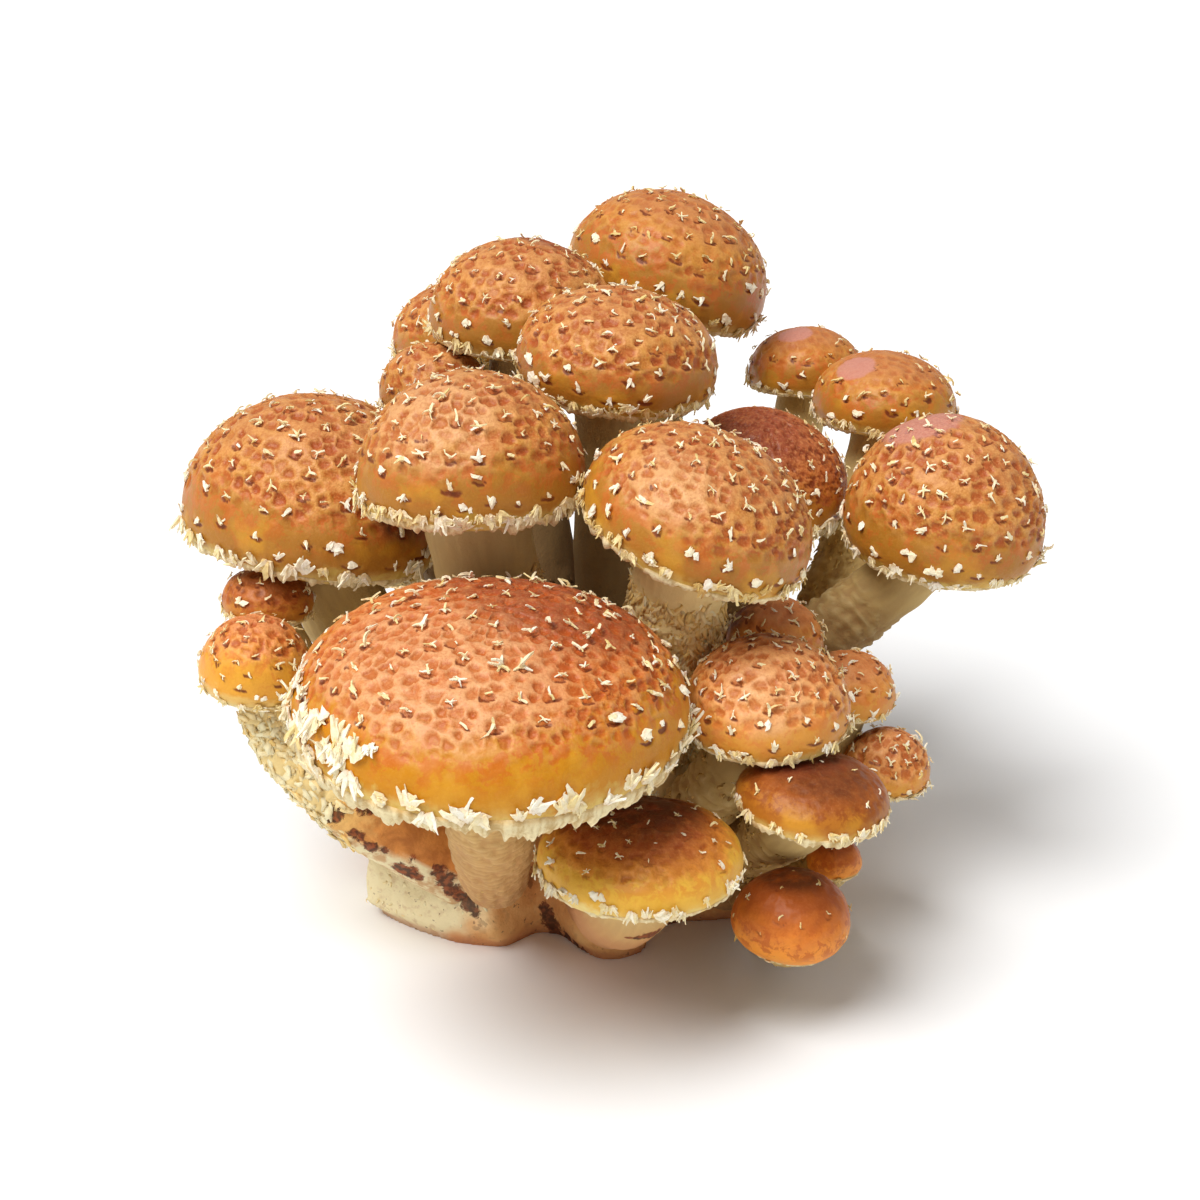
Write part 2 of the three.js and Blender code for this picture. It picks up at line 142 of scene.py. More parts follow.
# %% Camera
LOOK_AT = Vector((0, 0, 0.053))
DISTANCE = 0.385
ELEVATION = math.radians(22)
camera_data = bpy.data.cameras.new("camera")
camera_data.lens = 70
camera_data.sensor_width = 36
camera_data.clip_start = 0.01
camera = bpy.data.objects.new("camera", camera_data)
scene.collection.objects.link(camera)
away = Vector((0, -math.cos(ELEVATION), math.sin(ELEVATION)))
camera.location = LOOK_AT + DISTANCE * away
camera.rotation_euler = (-away).to_track_quat("-Z", "Y").to_euler()
scene.camera = camera
print("camera at", [round(x, 4) for x in camera.location])

# %% [markdown]
# ## Writing materials as sums
# A material is a graph of nodes, which is slow to read when wired by hand. Here one small class wraps a
# socket, so that adding or multiplying two of them adds the Math node in between. Another holds the
# graph, has the one method that makes any other node, and lays one paint over another.

# %% Shader helpers
def linear(channel):
    share = channel / 255
    return share / 12.92 if share <= 0.04045 else ((share + 0.055) / 1.055) ** 2.4


def paint(colour):
    """The linear colour that a shader takes, from red, green and blue as on a screen, 0 to 255."""
    return colour if isinstance(colour, Wire) else (*map(linear, colour), 1)


class Wire:
    """A socket that a shader graph gives; arithmetic on it adds Math nodes."""

    def __init__(self, graph, socket):
        self.graph = graph
        self.socket = socket

    def _math(self, operation, *values):
        return self.graph.node("ShaderNodeMath", {"operation": operation}, dict(enumerate(values)))

    def __add__(self, other):
        return self._math("ADD", self, other)

    def __sub__(self, other):
        return self._math("SUBTRACT", self, other)

    def __mul__(self, other):
        return self._math("MULTIPLY", self, other)

    def __rsub__(self, other):
        return self._math("SUBTRACT", other, self)

    __radd__ = __add__
    __rmul__ = __mul__

    def between(self, low, high):
        """Rises smoothly from 0 where the value is low to 1 where it is high."""
        sockets = {"Value": self, "From Min": low, "From Max": high}
        return self.graph.node("ShaderNodeMapRange", {"interpolation_type": "SMOOTHSTEP"}, sockets)


class Graph:
    """A material and its nodes, starting from one Principled shader with some fixed values."""

    def __init__(self, name, **fixed):
        self.material = bpy.data.materials.new(name)
        self.material.use_nodes = True
        self.tree = self.material.node_tree
        self.shader = self.tree.nodes["Principled BSDF"]
        for label, value in fixed.items():
            self.shader.inputs[label.replace("_", " ")].default_value = value
        self.place = self.node("ShaderNodeTexCoord", {}, {}, "Object")
        self.colour = None

    def node(self, kind, settings, sockets, output=0):
        """Adds a node, sets it up, then gives its sockets their values or links."""
        made = self.tree.nodes.new(kind)
        for label, value in settings.items():
            if label == "stops":
                self.fill_ramp(made.color_ramp.elements, value)
            else:
                setattr(made, label, value)
        for label, value in sockets.items():
            self.feed(made.inputs[label], value)
        return Wire(self, made.outputs[output])

    def fill_ramp(self, elements, stops):
        while len(elements) < len(stops):
            elements.new(0.5)
        for element, (position, colour) in zip(elements, stops):
            element.position = position
            element.color = paint(colour)

    def feed(self, socket, value):
        if isinstance(value, Wire):
            self.tree.links.new(value.socket, socket)
        else:
            socket.default_value = value

    def stored(self, name):
        """A number that the mesh keeps at each vertex."""
        return self.node("ShaderNodeAttribute", {"attribute_name": name}, {}, "Fac")

    def clouds(self, size, detail=3, rough=0.55, warp=0):
        """Soft noise whose features are about size millimetres across, from 0 to 1."""
        sockets = {"Vector": self.place, "Scale": 1 / (size * MM), "Detail": detail}
        sockets.update({"Roughness": rough, "Distortion": warp})
        return self.node("ShaderNodeTexNoise", {}, sockets, "Fac")

    def blend(self, share, first, second):
        """Mixes two colours."""
        sockets = {0: share, 6: paint(first), 7: paint(second)}
        return self.node("ShaderNodeMix", {"data_type": "RGBA"}, sockets, 2)

    def tint(self, share, colour):
        """Lays a colour over what there is so far."""
        self.colour = self.blend(share, self.colour, colour)

    def ramp(self, value, *stops):
        """Starts from a run of colours, each with its position from 0 to 1."""
        self.colour = self.node("ShaderNodeValToRGB", {"stops": stops}, {"Fac": value}, "Color")

    def bump(self, height, depth):
        """Raises fine relief; height runs from 0 to 1 and depth is its size in millimetres."""
        sockets = {"Height": height, "Distance": depth * MM, "Strength": 1}
        self.feed(self.shader.inputs["Normal"], self.node("ShaderNodeBump", {}, sockets, "Normal"))

    def finish(self, roughness):
        self.feed(self.shader.inputs["Base Color"], self.colour)
        self.feed(self.shader.inputs["Roughness"], roughness)
        return self.material


# %% [markdown]
# ## Caps
# A cap is nearly a shape turned on a lathe: a dome, a rim that rolls under and a soft lip. So its
# outline is drawn once, down the dome to the lip and back to the middle underneath, and spun round.
# What a lathe can't give, the waver of the rim, lumps, and the net of small pits, is then pressed into
# the spun mesh by moving its vertices straight in or out.

# %% The cap's own frame
def toward_angles(phi, turn):
    """Unit directions, given the angle down from straight up and the angle round."""
    return np.stack([np.sin(phi) * np.cos(turn), np.sin(phi) * np.sin(turn), np.cos(phi)], axis=-1)


def cap_axis(cap):
    return Vector(toward_angles(math.radians(cap.lean), math.radians(cap.toward)))


def placed(cap, points):
    """Points in the cap's own frame, in millimetres, turned as it leans and at its place."""
    lean = np.array(Vector((0, 0, 1)).rotation_difference(cap_axis(cap)).to_matrix())
    return points @ lean.T + np.array(cap.at)


def waver(cap, turn):
    """How far the rim stands in or out, going round."""
    first = 0.02 * np.sin(2 * turn + cap.seed)
    return 1 + first + 0.015 * np.sin(3 * turn + 2.3 * cap.seed)


def skin(cap, phi, turn):
    """Points of the smooth skin: phi is the angle down from the top, turn the angle round."""
    reach = cap.radius * np.sin(phi) * waver(cap, turn)
    height = np.where(phi < np.pi / 2, cap.dome, LOBE) * cap.radius
    return np.stack([reach * np.cos(turn), reach * np.sin(turn), height * np.cos(phi)], axis=-1)


def unit(vectors):
    return vectors / np.linalg.norm(vectors, axis=-1, keepdims=True)


def skin_axes(cap, phi, turn):
    """The skin's directions down the slope, sideways and straight out."""
    step = 0.01
    phi = np.maximum(phi, 2 * step)
    down = unit(skin(cap, phi + step, turn) - skin(cap, phi - step, turn))
    side = unit(skin(cap, phi, turn + step) - skin(cap, phi, turn - step))
    out = unit(np.cross(down, side))
    return down, np.cross(out, down), out


def smooth(value, low, high):
    """Rises smoothly from 0 where the value is low to 1 where it is high."""
    share = np.clip((value - low) / (high - low), 0, 1)
    return share * share * (3 - 2 * share)


def peak(value, middle, width):
    """1 where the value is in the middle, falling off to both sides."""
    return np.exp(-(((value - middle) / width) ** 2))


# %% [markdown]
# ## Where scales sit
# The upper skin of these caps is full of shallow pits, two to three millimetres apart, and a cream scale
# sits in every second or third of them. So places are picked at random, but never too close together,
# beginning where the solids carry a scale. A place far enough from all scales so far gets one, the gaps
# widen towards the rim, and some caps have bare places, where the scales were rubbed off. Such a patch
# is given by its angle down the cap, its angle round and its size, in degrees.

# %% How pits and scales differ
tell_apart(
    dict(pit_size=1, scale_gap=1, bare=()),
    front_large=dict(pit_size=0.72, scale_gap=0.95, bare=((78, 250, 17), (79, 275, 19), (78, 300, 16))),
    centre_right=dict(pit_size=0.85, bare=((48, 242, 15),)),
    right_large=dict(bare=((38, 60, 26),)),
    front_low=dict(scale_gap=1.15, bare=((78, 285, 32),)),
    centre_back=dict(pit_size=0.5, bare=((32, 222, 44),)),
    right_back=dict(bare=((20, 230, 36),)),
    right_low=dict(scale_gap=1.8, bare=((66, 266, 38),)),
    far_right_back=dict(bare=((15, 230, 36),)),
    left_upper_small=dict(scale_gap=1.3),
    front_bud=dict(scale_gap=1.6, bare=((95, 270, 40),)),
    right_bud=dict(scale_gap=1.6, bare=((95, 270, 60),)),
)

# %% Pits and scales
Spots = namedtuple("Spots", "phi turn scaled")


def in_patches(patches, phi, turn):
    """1 in any of some round patches and 0 outside them."""
    found = np.zeros(len(phi))
    for patch in patches:
        down, around, size = np.radians(patch)
        apart = np.arccos(np.clip(toward_angles(phi, turn) @ toward_angles(down, around), -1, 1))
        found += 1 - smooth(apart, 0.65 * size, 1.35 * size)
    return np.clip(found, 0, 1)


def mesh_size(cap):
    """How far apart the pits of a cap are."""
    return (1.5 + 0.055 * cap.radius) * cap.pit_size


def scale_reach(cap):
    """How far the reddened skin under a scale reaches."""
    return 0.62 + 0.015 * cap.radius


def apart_enough(points, gaps):
    """Which of the points, taken in order, stay at least their gap away from those kept before."""
    kept = []
    for index, gap in enumerate(gaps):
        if not kept or np.min(np.linalg.norm(points[kept] - points[index], axis=1)) > gap:
            kept.append(index)
    return np.array(kept)


def cap_spots(cap):
    """The angles of every pit on a cap, and whether a scale sits in it."""
    rng = np.random.default_rng(100 + cap.seed)
    radius = cap.radius
    size = mesh_size(cap)
    own = np.arange(cap.scales)
    own_phi = np.arccos(1 - 0.97 * (own + 0.6) / cap.scales)
    area = 2 * math.pi * radius * radius * (0.4 + 0.6 * cap.dome)
    count = int(4 * area / size**2)
    phi = np.concatenate([own_phi, np.arccos(1 - 1.1 * rng.random(count))])
    turn = np.concatenate([own * GOLDEN_ANGLE, rng.uniform(0, 2 * np.pi, count)])
    points = skin(cap, phi, turn)
    level = phi / cap.curl
    gaps = (1.95 + 0.072 * radius) * (1 + 0.35 * smooth(level, 0.55, 0.75)) * cap.scale_gap
    chosen = apart_enough(points, gaps * rng.uniform(0.75, 1.25, len(phi)))
    others = np.setdiff1d(np.arange(len(phi)), chosen)
    reach = np.min(np.linalg.norm(points[others][:, None] - points[chosen][None], axis=2), axis=1)
    others = others[reach > 0.85 * scale_reach(cap) + 0.3 * size]
    others = others[apart_enough(points[others], size * rng.uniform(0.5, 0.98, len(others)))]
    order = np.concatenate([chosen, others])
    phi = phi[order]
    turn = turn[order]
    scaled = np.arange(len(order)) < len(chosen)
    scaled &= rng.random(len(phi)) > 1.15 * in_patches(cap.bare, phi, turn)
    used = scaled | (level[order] < 0.72)
    return Spots(phi[used], turn[used], scaled[used])


SPOTS = {mushroom.name: cap_spots(mushroom) for mushroom in MUSHROOMS}
print("pits:", sum(len(spots.phi) for spots in SPOTS.values()))
print("scales:", sum(int(spots.scaled.sum()) for spots in SPOTS.values()))

# %% [markdown]
# ## Spinning an outline
# `bmesh.ops.spin` sweeps an open line of edges round an axis. A full turn in fine steps is slow, so here
# it makes one narrow wedge, which is doubled and turned four times to fill the circle, and the wedges
# are merged along their sides. A number kept on each vertex of the outline is copied along, which later
# tells how far down the cap it lies.

# %% Spin helper
DOUBLINGS = 4
WEDGES = 2**DOUBLINGS


def spun(name, outline, steps):
    """A closed mesh spun from (reach, height) points in steps that are a multiple of the wedges."""
    shape = bmesh.new()
    place = shape.verts.layers.float.new("along")
    line = []
    for index, (reach, height) in enumerate(outline):
        corner = shape.verts.new((reach, 0, height))
        corner[place] = index
        line.append(corner)
    for start, end in zip(line, line[1:]):
        shape.edges.new((start, end))
    wedge = 2 * math.pi / WEDGES
    bmesh.ops.spin(
        shape, geom=shape.verts[:] + shape.edges[:], cent=(0, 0, 0), axis=(0, 0, 1),
        dvec=(0, 0, 0), angle=wedge, steps=steps // WEDGES, use_merge=False, use_duplicate=False,
    )
    for doubling in range(DOUBLINGS):
        everything = shape.verts[:] + shape.edges[:] + shape.faces[:]
        copied = bmesh.ops.duplicate(shape, geom=everything)["geom"]
        corners = [thing for thing in copied if isinstance(thing, bmesh.types.BMVert)]
        turn = Matrix.Rotation(wedge * 2**doubling, 3, "Z")
        bmesh.ops.rotate(shape, verts=corners, cent=(0, 0, 0), matrix=turn)
    bmesh.ops.remove_doubles(shape, verts=shape.verts[:], dist=0.0005)
    bmesh.ops.recalc_face_normals(shape, faces=shape.faces[:])
    mesh = bpy.data.meshes.new(name)
    shape.to_mesh(mesh)
    shape.free()
    return mesh


def steps_round(radius, spacing):
    """How many steps of about that spacing go round a circle."""
    return WEDGES * max(1, round(2 * math.pi * radius / spacing / WEDGES))


def read_vectors(mesh, what="co"):
    """The points of a mesh, or its normals."""
    values = np.empty(3 * len(mesh.vertices), dtype=np.float32)
    mesh.vertices.foreach_get(what, values)
    return values.reshape(-1, 3).astype(float)


def read_number(mesh, name):
    values = np.empty(len(mesh.vertices), dtype=np.float32)
    mesh.attributes[name].data.foreach_get("value", values)
    return values.astype(float)


def opened(mesh):
    """A spun mesh's points, their angles round, and their places along the outline."""
    points = read_vectors(mesh)
    along = read_number(mesh, "along")
    mesh.attributes.remove(mesh.attributes["along"])
    return points, np.arctan2(points[:, 1], points[:, 0]), along


def keep_numbers(mesh, **numbers):
    """Stores numbers at each vertex, for the material to read."""
    for name, values in numbers.items():
        found = mesh.attributes.new(name, "FLOAT", "POINT")
        found.data.foreach_set("value", np.full(len(mesh.vertices), values, dtype=np.float32))


def write_points(mesh, points):
    """Gives the mesh its points, from millimetres to metres."""
    mesh.vertices.foreach_set("co", (points * MM).astype(np.float32).ravel())
    mesh.update()


def add_piece(name, mesh, slot, material, *stands_for):
    """Puts a finished mesh in the scene, on the root body; the slot is not used."""
    mesh.shade_smooth()
    piece = bpy.data.objects.new(name, mesh)
    scene.collection.objects.link(piece)
    piece.data.materials.append(material)
    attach(piece, "root")
    if stands_for:
        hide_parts(*stands_for)
    return piece


def dress(kind, make, slot, material, *stands_for):
    """Adds one piece to every mushroom, in place of the named parts of its solids, if any."""
    pieces = []
    for mushroom in MUSHROOMS:
        name = mushroom.name
        solids = [f"{name}_{part}" for part in stands_for]
        pieces.append(add_piece(f"{name}_{kind}", make(mushroom), slot, material, *solids))
    print(kind, "pieces:", len(pieces), "with", sum(len(piece.data.polygons) for piece in pieces), "faces")
    return pieces


# %% [markdown]
# ## Cap skin
# A real cap is lumpy, and its skin is netted with pits. They could be painted on, but only modelled pits
# catch the light. A k-d tree finds the pit nearest to each vertex, and how far below and beside it the
# vertex lies gives a bowl that is wider than high, with a small bump in its middle. Every scale stands
# on a swelling with a groove below it, and the dark crescent there is partly the skin's darker colour and
# partly painted shadow. The finest grain is left to the material.

# %% How the caps' skins differ
# The grid of the mesh is in millimetres. The lists are patches: painted sheen, purple, dark red and painted
# shade.
# The dark red patches are painted shade on left_large, front_low and right_low, and the cap's own maroon on
# centre_back.
tell_apart(
    dict(cap_grid=0.4, golden=0, netted=1, crescents=1, sheen=(), bruised=(), flush=(), shaded=()),
    front_large=dict(
        cap_grid=0.36, golden=0.02, sheen=((40, 240, 36),), flush=((24, 30, 30), (40, 80, 30)),
    ),
    centre_left=dict(golden=0.03, sheen=((42, 245, 32),)),
    left_large=dict(flush=((60, 320, 20),), shaded=((68, 318, 15),)),
    centre_right=dict(sheen=((50, 235, 26),)),
    right_large=dict(bruised=((24, 150, 24),)),
    top_back=dict(netted=0.5),
    top_left=dict(flush=((30, 60, 30),)),
    front_low=dict(netted=0.5, crescents=0.45, flush=((24, 100, 30),), shaded=((13, 95, 38),)),
    centre_back=dict(flush=((34, 222, 44),)),
    top_left_back=dict(cap_grid=0.5),
    right_back=dict(netted=0.45, bruised=((38, 215, 17),)),
    right_front=dict(sheen=((50, 262, 30),), shaded=((34, 100, 20),)),
    right_low=dict(netted=0.3, crescents=0.4, flush=((32, 120, 40),), shaded=((18, 128, 27),)),
    far_right_back=dict(netted=0.4, bruised=((20, 230, 18),)),
    left_behind=dict(cap_grid=0.5),
    left_small=dict(golden=0.16),
    left_upper_small=dict(netted=0.5),
    right_under=dict(netted=0.4, shaded=((45, 185, 26),)),
    right_side=dict(netted=0.5, shaded=((42, 165, 20),)),
    right_edge=dict(shaded=((40, 150, 20),)),
    front_bud=dict(netted=0.2, crescents=0.5, shaded=((15, 95, 32),)),
    right_bud=dict(netted=0.2, crescents=0.4),
    back_left=dict(cap_grid=0.5),
    back_right=dict(cap_grid=0.5),
    back_bud=dict(cap_grid=0.5),
)

# %% Cap outline
LIP_STEPS = 6


def lip_size(cap):
    return 0.35 + 0.025 * cap.radius


def cap_outline(cap):
    """The outline of a cap and the angle down the skin at each of its points."""
    radius = cap.radius
    curl = cap.curl
    rings = round(radius * curl * (0.5 + 0.5 * max(cap.dome, LOBE)) / cap.cap_grid)
    angles = np.linspace(0, curl, rings + 1)
    dome = skin(cap, angles, np.zeros(rings + 1))
    outline = [(radius * math.sin(angle), point[2]) for angle, point in zip(angles, dome)]
    rim_reach, rim_height = outline[-1]
    lip = lip_size(cap)
    angles = list(angles)
    for step in range(1, LIP_STEPS + 1):
        bend = math.pi * step / LIP_STEPS
        outline.append((rim_reach - lip * (1 - math.cos(bend)), rim_height - lip * 0.8 * math.sin(bend)))
        angles.append(curl + 0.02 * step)
    inner = rim_reach - 2 * lip
    rise = GILL_RISE * radius
    for share in (0.85, 0.45, 0):
        outline.append((inner * share, rim_height + lip + rise * (1 - share)))
        angles.append(curl + 0.2)
    return outline, np.array(angles)


def soft_noise(points, size, offset=0):
    """Smooth noise from about -1 to 1 with features of that size in millimetres."""
    shift = Vector((offset, 2.3 * offset, -1.7 * offset))
    return np.array([noise.noise(Vector(point) + shift) for point in points / size])


def pit_distances(cap, points):
    """For each point the nearest pit's number, how much further off the second nearest is, and how far
    below and beside the nearest the point lies."""
    spots = SPOTS[cap.name]
    roots = skin(cap, spots.phi, spots.turn)
    tree = KDTree(len(roots))
    for index, root in enumerate(roots):
        tree.insert(root, index)
    tree.balance()
    nearest = np.empty(len(points), dtype=int)
    apart = np.empty((len(points), 2))
    for row, point in enumerate(points):
        (_, nearest[row], apart[row, 0]), (_, _, apart[row, 1]) = tree.find_n(point, 2)
    down, side, _ = skin_axes(cap, spots.phi, spots.turn)
    away = points - roots[nearest]
    below = np.sum(away * down[nearest], axis=1)
    beside = np.sum(away * side[nearest], axis=1)
    return nearest, apart[:, 1] - apart[:, 0], below, beside


# %% Cap relief
def cap_skin_mesh(cap):
    outline, angles = cap_outline(cap)
    steps = steps_round(cap.radius, cap.cap_grid)
    mesh = spun(f"{cap.name}_cap_skin", outline, steps)
    points, turn, along = opened(mesh)
    phi = np.interp(along, np.arange(len(angles)), angles)
    points[:, :2] *= waver(cap, turn)[:, None]
    _, _, out = skin_axes(cap, phi, turn)
    curl = cap.curl
    pattern = points + 53 * cap.seed
    wide = soft_noise(pattern, 8.5)
    small = soft_noise(pattern, 2.2, 9)
    tiny = soft_noise(pattern, 0.9, 17)
    zone = phi / curl + 0.07 * wide + 0.04 * small + cap.golden
    bruise = in_patches(cap.bruised, phi, turn)
    netted = (1 - smooth(zone, 0.58, 0.8)) * (1 - 0.85 * bruise) * cap.netted
    wander = np.stack([small + 0.6 * tiny, tiny, 0.6 * tiny - small], axis=1)
    nearest, margin, below, beside = pit_distances(cap, points + 0.4 * wander)
    size = mesh_size(cap)
    spots = SPOTS[cap.name]
    rng = np.random.default_rng(900 + cap.seed)
    pits = len(spots.phi)
    scaled = spots.scaled[nearest]
    depth = rng.uniform(0.35, 1.0, pits)[nearest]
    flatness = rng.uniform(1.0, 1.8, pits)[nearest]
    width = rng.uniform(0.28, 0.52, pits) * size
    width = np.where(spots.scaled, scale_reach(cap) * rng.uniform(0.75, 1.25, pits), width)[nearest]
    low = below / width
    inside = np.hypot(low, beside / (flatness * width))
    bowl = (1 - smooth(inside, 0.5, 1.2)) * smooth(margin, 0.02 * size, 0.2 * size)
    middle = np.hypot(low - 0.1, beside / (1.5 * flatness * width))
    bump = peak(middle, 0, 0.4) * np.where(scaled, 0.5, rng.uniform(-0.9, 0.8, pits)[nearest])
    bump = np.clip(bump, 0, 1) * bowl
    pit = np.clip(bowl * depth * (1 - 0.8 * bump), 0, 1)
    flat = 1 - bowl
    held = np.where(scaled, 1 - smooth(zone, 0.86, 1.02), 0.3 * netted)
    crescent = peak(inside, 0.9, 0.27) * smooth(low, 0.1, 0.75) * held * cap.crescents
    edge = peak(inside, 1.45, 0.22) * smooth(low, 0.2, 0.9) * held
    relief = netted * ((0.1 + 0.17 * size) * (0.3 * flat - pit) + 0.1 * bump)
    relief = relief + 0.3 * wide + 0.1 * small + 0.05 * netted * tiny
    relief = relief + 0.22 * bump * scaled * held - 0.2 * crescent + 0.07 * edge
    relief = relief * (1 - smooth(phi, curl, curl + 0.12))
    write_points(mesh, placed(cap, points + out * relief[:, None]))
    # These numbers include the patches of painted sheen and painted shade, and the dark red tint that is
    # painted shade on some caps.
    keep_numbers(
        mesh, zone=zone, pit=netted * pit, ridge=netted * flat, crescent=crescent, bruise=bruise,
        bump=bump * np.maximum(netted, 0.6 * held * scaled), netted=cap.netted,
        lip=smooth(phi, curl - 0.22, curl + 0.02),
        **{kind: in_patches(getattr(cap, kind), phi, turn) for kind in ("flush", "sheen", "shaded")},
    )
    return mesh


# %% [markdown]
# ## Cap finish
# The colour runs from red-orange in the middle to gold at the rim, with flames where the two meet. The
# pits are darker and the flat skin between them is lighter. The mesh keeps how far down the cap each
# vertex is and how deep in a pit, and the material turns these numbers into colour. The sorts of cap
# differ only in their paints.

# %% Cap materials
Paints = namedtuple("Paints", "top middle gold edge pit ridge flame")
CAP_PAINTS = {
    "orange": Paints(
        (189, 116, 62), (203, 137, 54), (174, 116, 36), (195, 161, 70), (168, 78, 32),
        (228, 166, 96), (195, 95, 32),
    ),
    "amber": Paints(
        (198, 94, 30), (212, 116, 30), (202, 132, 14), (210, 174, 80), (178, 80, 26),
        (236, 172, 112), (200, 88, 18),
    ),
    "golden": Paints(
        (208, 122, 70), (224, 140, 54), (226, 158, 50), (230, 184, 96), (176, 84, 34),
        (238, 166, 106), (212, 112, 40),
    ),
    # The pale paints are a lighter copy of the orange ones, painted light for caps in the shade of others.
    "pale": Paints(
        (216, 134, 78), (226, 150, 68), (218, 148, 56), (224, 184, 100), (182, 94, 40),
        (246, 184, 118), (214, 116, 46),
    ),
    "russet": Paints(
        (177, 93, 48), (191, 110, 44), (191, 126, 36), (201, 161, 76), (129, 54, 24),
        (214, 135, 76), (179, 83, 32),
    ),
    "honey": Paints(
        (182, 90, 38), (218, 138, 48), (236, 182, 64), (240, 214, 134), (150, 66, 24),
        (222, 146, 76), (224, 142, 50),
    ),
    "brown": Paints(
        (156, 81, 32), (187, 106, 38), (195, 124, 42), (211, 159, 74), (113, 46, 20),
        (201, 122, 66), (172, 81, 26),
    ),
    "ember": Paints(
        (112, 54, 20), (156, 82, 26), (178, 108, 30), (192, 146, 64), (104, 42, 16),
        (176, 98, 46), (142, 68, 20),
    ),
    "bud": Paints(
        (172, 84, 30), (214, 120, 42), (240, 150, 50), (216, 136, 62), (104, 42, 18),
        (204, 118, 62), (190, 90, 28),
    ),
}


def cap_material(sort):
    paints = CAP_PAINTS[sort]
    cap = Graph(
        f"cap_skin_{sort}", Coat_Roughness=0.32, Coat_Weight=0.15, Specular_IOR_Level=0.28,
        Specular_Tint=(1.0, 0.84, 0.68, 1.0),
    )
    mottle = cap.clouds(4.2, 4, 0.62, 0.5)
    fine = cap.clouds(0.8, 3, 0.6)
    grain = cap.clouds(0.4, 3, 0.6)
    level = cap.stored("zone")
    cap.ramp(
        level + 0.3 * (mottle - 0.5) + 0.12 * (cap.clouds(1.4, 3) - 0.5),
        (0.0, paints.top), (0.36, paints.top), (0.54, paints.middle),
        (0.68, paints.gold), (0.93, paints.gold), (1.0, paints.edge),
    )
    flame = cap.clouds(2.4, 4, 0.7, 0.4).between(0.47, 0.56) * level.between(0.4, 0.56)
    cap.tint(0.75 * flame * (1 - level.between(0.68, 0.9)), paints.flame)
    sunned = cap.clouds(7, 3, 0.5).between(0.5, 0.66) * level.between(0.6, 0.8)
    cap.tint(0.45 * sunned, (222, 162, 46))
    # Painted sheen: a lighter, pinker tint where the light shines on the sticky skin; it also lightens the
    # ridges and pits there.
    sheen = cap.stored("sheen") * cap.clouds(3.4, 3, 0.55).between(0.2, 0.55)
    sheen = sheen * (1 - level.between(0.6, 0.78))
    cap.tint(0.38 * sheen, (226, 164, 112))
    cap.tint(0.6 * cap.stored("ridge") * cap.clouds(1.7, 3, 0.6).between(0.25, 0.65), paints.ridge)
    cap.tint(0.4 * cap.stored("ridge") * sheen, (230, 178, 130))
    # A dark red tint: painted shade on left_large, front_low and right_low, and the cap's own maroon on
    # centre_back.
    cap.tint(0.75 * cap.stored("flush") * cap.clouds(3, 3).between(0.2, 0.5), (138, 56, 36))
    # Painted shade: dark brown where neighbouring caps shade this one.
    cap.tint(0.8 * cap.stored("shaded") * cap.clouds(2.4, 4, 0.6).between(0.2, 0.6), (74, 28, 18))
    deep = cap.blend(0.6 * sheen, paints.pit, (196, 122, 62))
    cap.tint(0.88 * cap.stored("pit").between(0.05, 0.75), deep)
    cap.tint(0.35 * cap.stored("bump"), (224, 144, 92))
    # The dark crescent below each scale: partly the skin's darker colour, partly painted shadow.
    cap.tint(0.9 * cap.stored("crescent").between(0.1, 0.7), (112, 44, 18))
    purple = (cap.stored("bruise") + 0.9 * (cap.clouds(3, 5, 0.7, 0.5) - 0.5)).between(0.3, 0.75)
    cap.tint(0.65 * purple, (204, 142, 134))
    dirt = cap.clouds(1.3, 4, 0.65).between(0.58, 0.64) * cap.stored("bruise").between(0.1, 0.4)
    cap.tint(dirt * (1 - purple), (52, 24, 18))
    upper = (1 - 0.75 * level.between(0.55, 0.75)) * cap.stored("netted")
    cap.tint(0.2 * upper * fine.between(0.45, 0.7), paints.pit)
    cap.tint(0.2 * upper * grain.between(0.48, 0.66), paints.pit)
    cap.tint(0.16 * upper * (1 - grain.between(0.34, 0.5)), (244, 186, 120))
    cap.tint(0.75 * cap.stored("lip") * cap.clouds(2.2, 3).between(0.3, 0.6), (228, 202, 122))
    cap.bump(0.7 * fine + 0.7 * upper * grain, 0.12)
    return cap.finish(0.36 + 0.2 * mottle)


CAP_MATERIALS = {sort: cap_material(sort) for sort in CAP_PAINTS}
print("sorts of cap:", ", ".join(CAP_MATERIALS))

# %% Make every cap skin
# Right front, right under, right side and right edge take the pale paints: painted light, as they lie in the
# shade of other caps.
tell_apart(
    dict(paints=None),
    front_large=dict(paints="amber"),
    right_front=dict(paints="pale"),
    right_low=dict(paints="ember"),
    left_small=dict(paints="golden"),
    left_upper_small=dict(paints="brown"),
    right_under=dict(paints="pale"),
    right_side=dict(paints="pale"),
    right_edge=dict(paints="pale"),
    front_bud=dict(paints="bud"),
    right_bud=dict(paints="bud"),
    back_bud=dict(paints="bud"),
)
faces_made = 0
for mushroom in MUSHROOMS:
    name = mushroom.name
    cap_mesh = cap_skin_mesh(mushroom)
    faces_made += len(cap_mesh.polygons)
    cap_finish = CAP_MATERIALS[mushroom.paints or mushroom.colour]
    add_piece(f"{name}_cap_skin", cap_mesh, f"cap_{mushroom.colour}", cap_finish, f"{name}_cap")
print("faces in the cap skins:", faces_made)

# %% [markdown]
# ## Gills
# Under each cap, thin plates of flesh run from the stem to the rim. They are one spun disc here, whose
# underside is pressed into ridges going round, four grid steps to a gill, and which is closed on top
# where it lies inside the cap.

# %% Gills
GILL_PITCH = 1.15


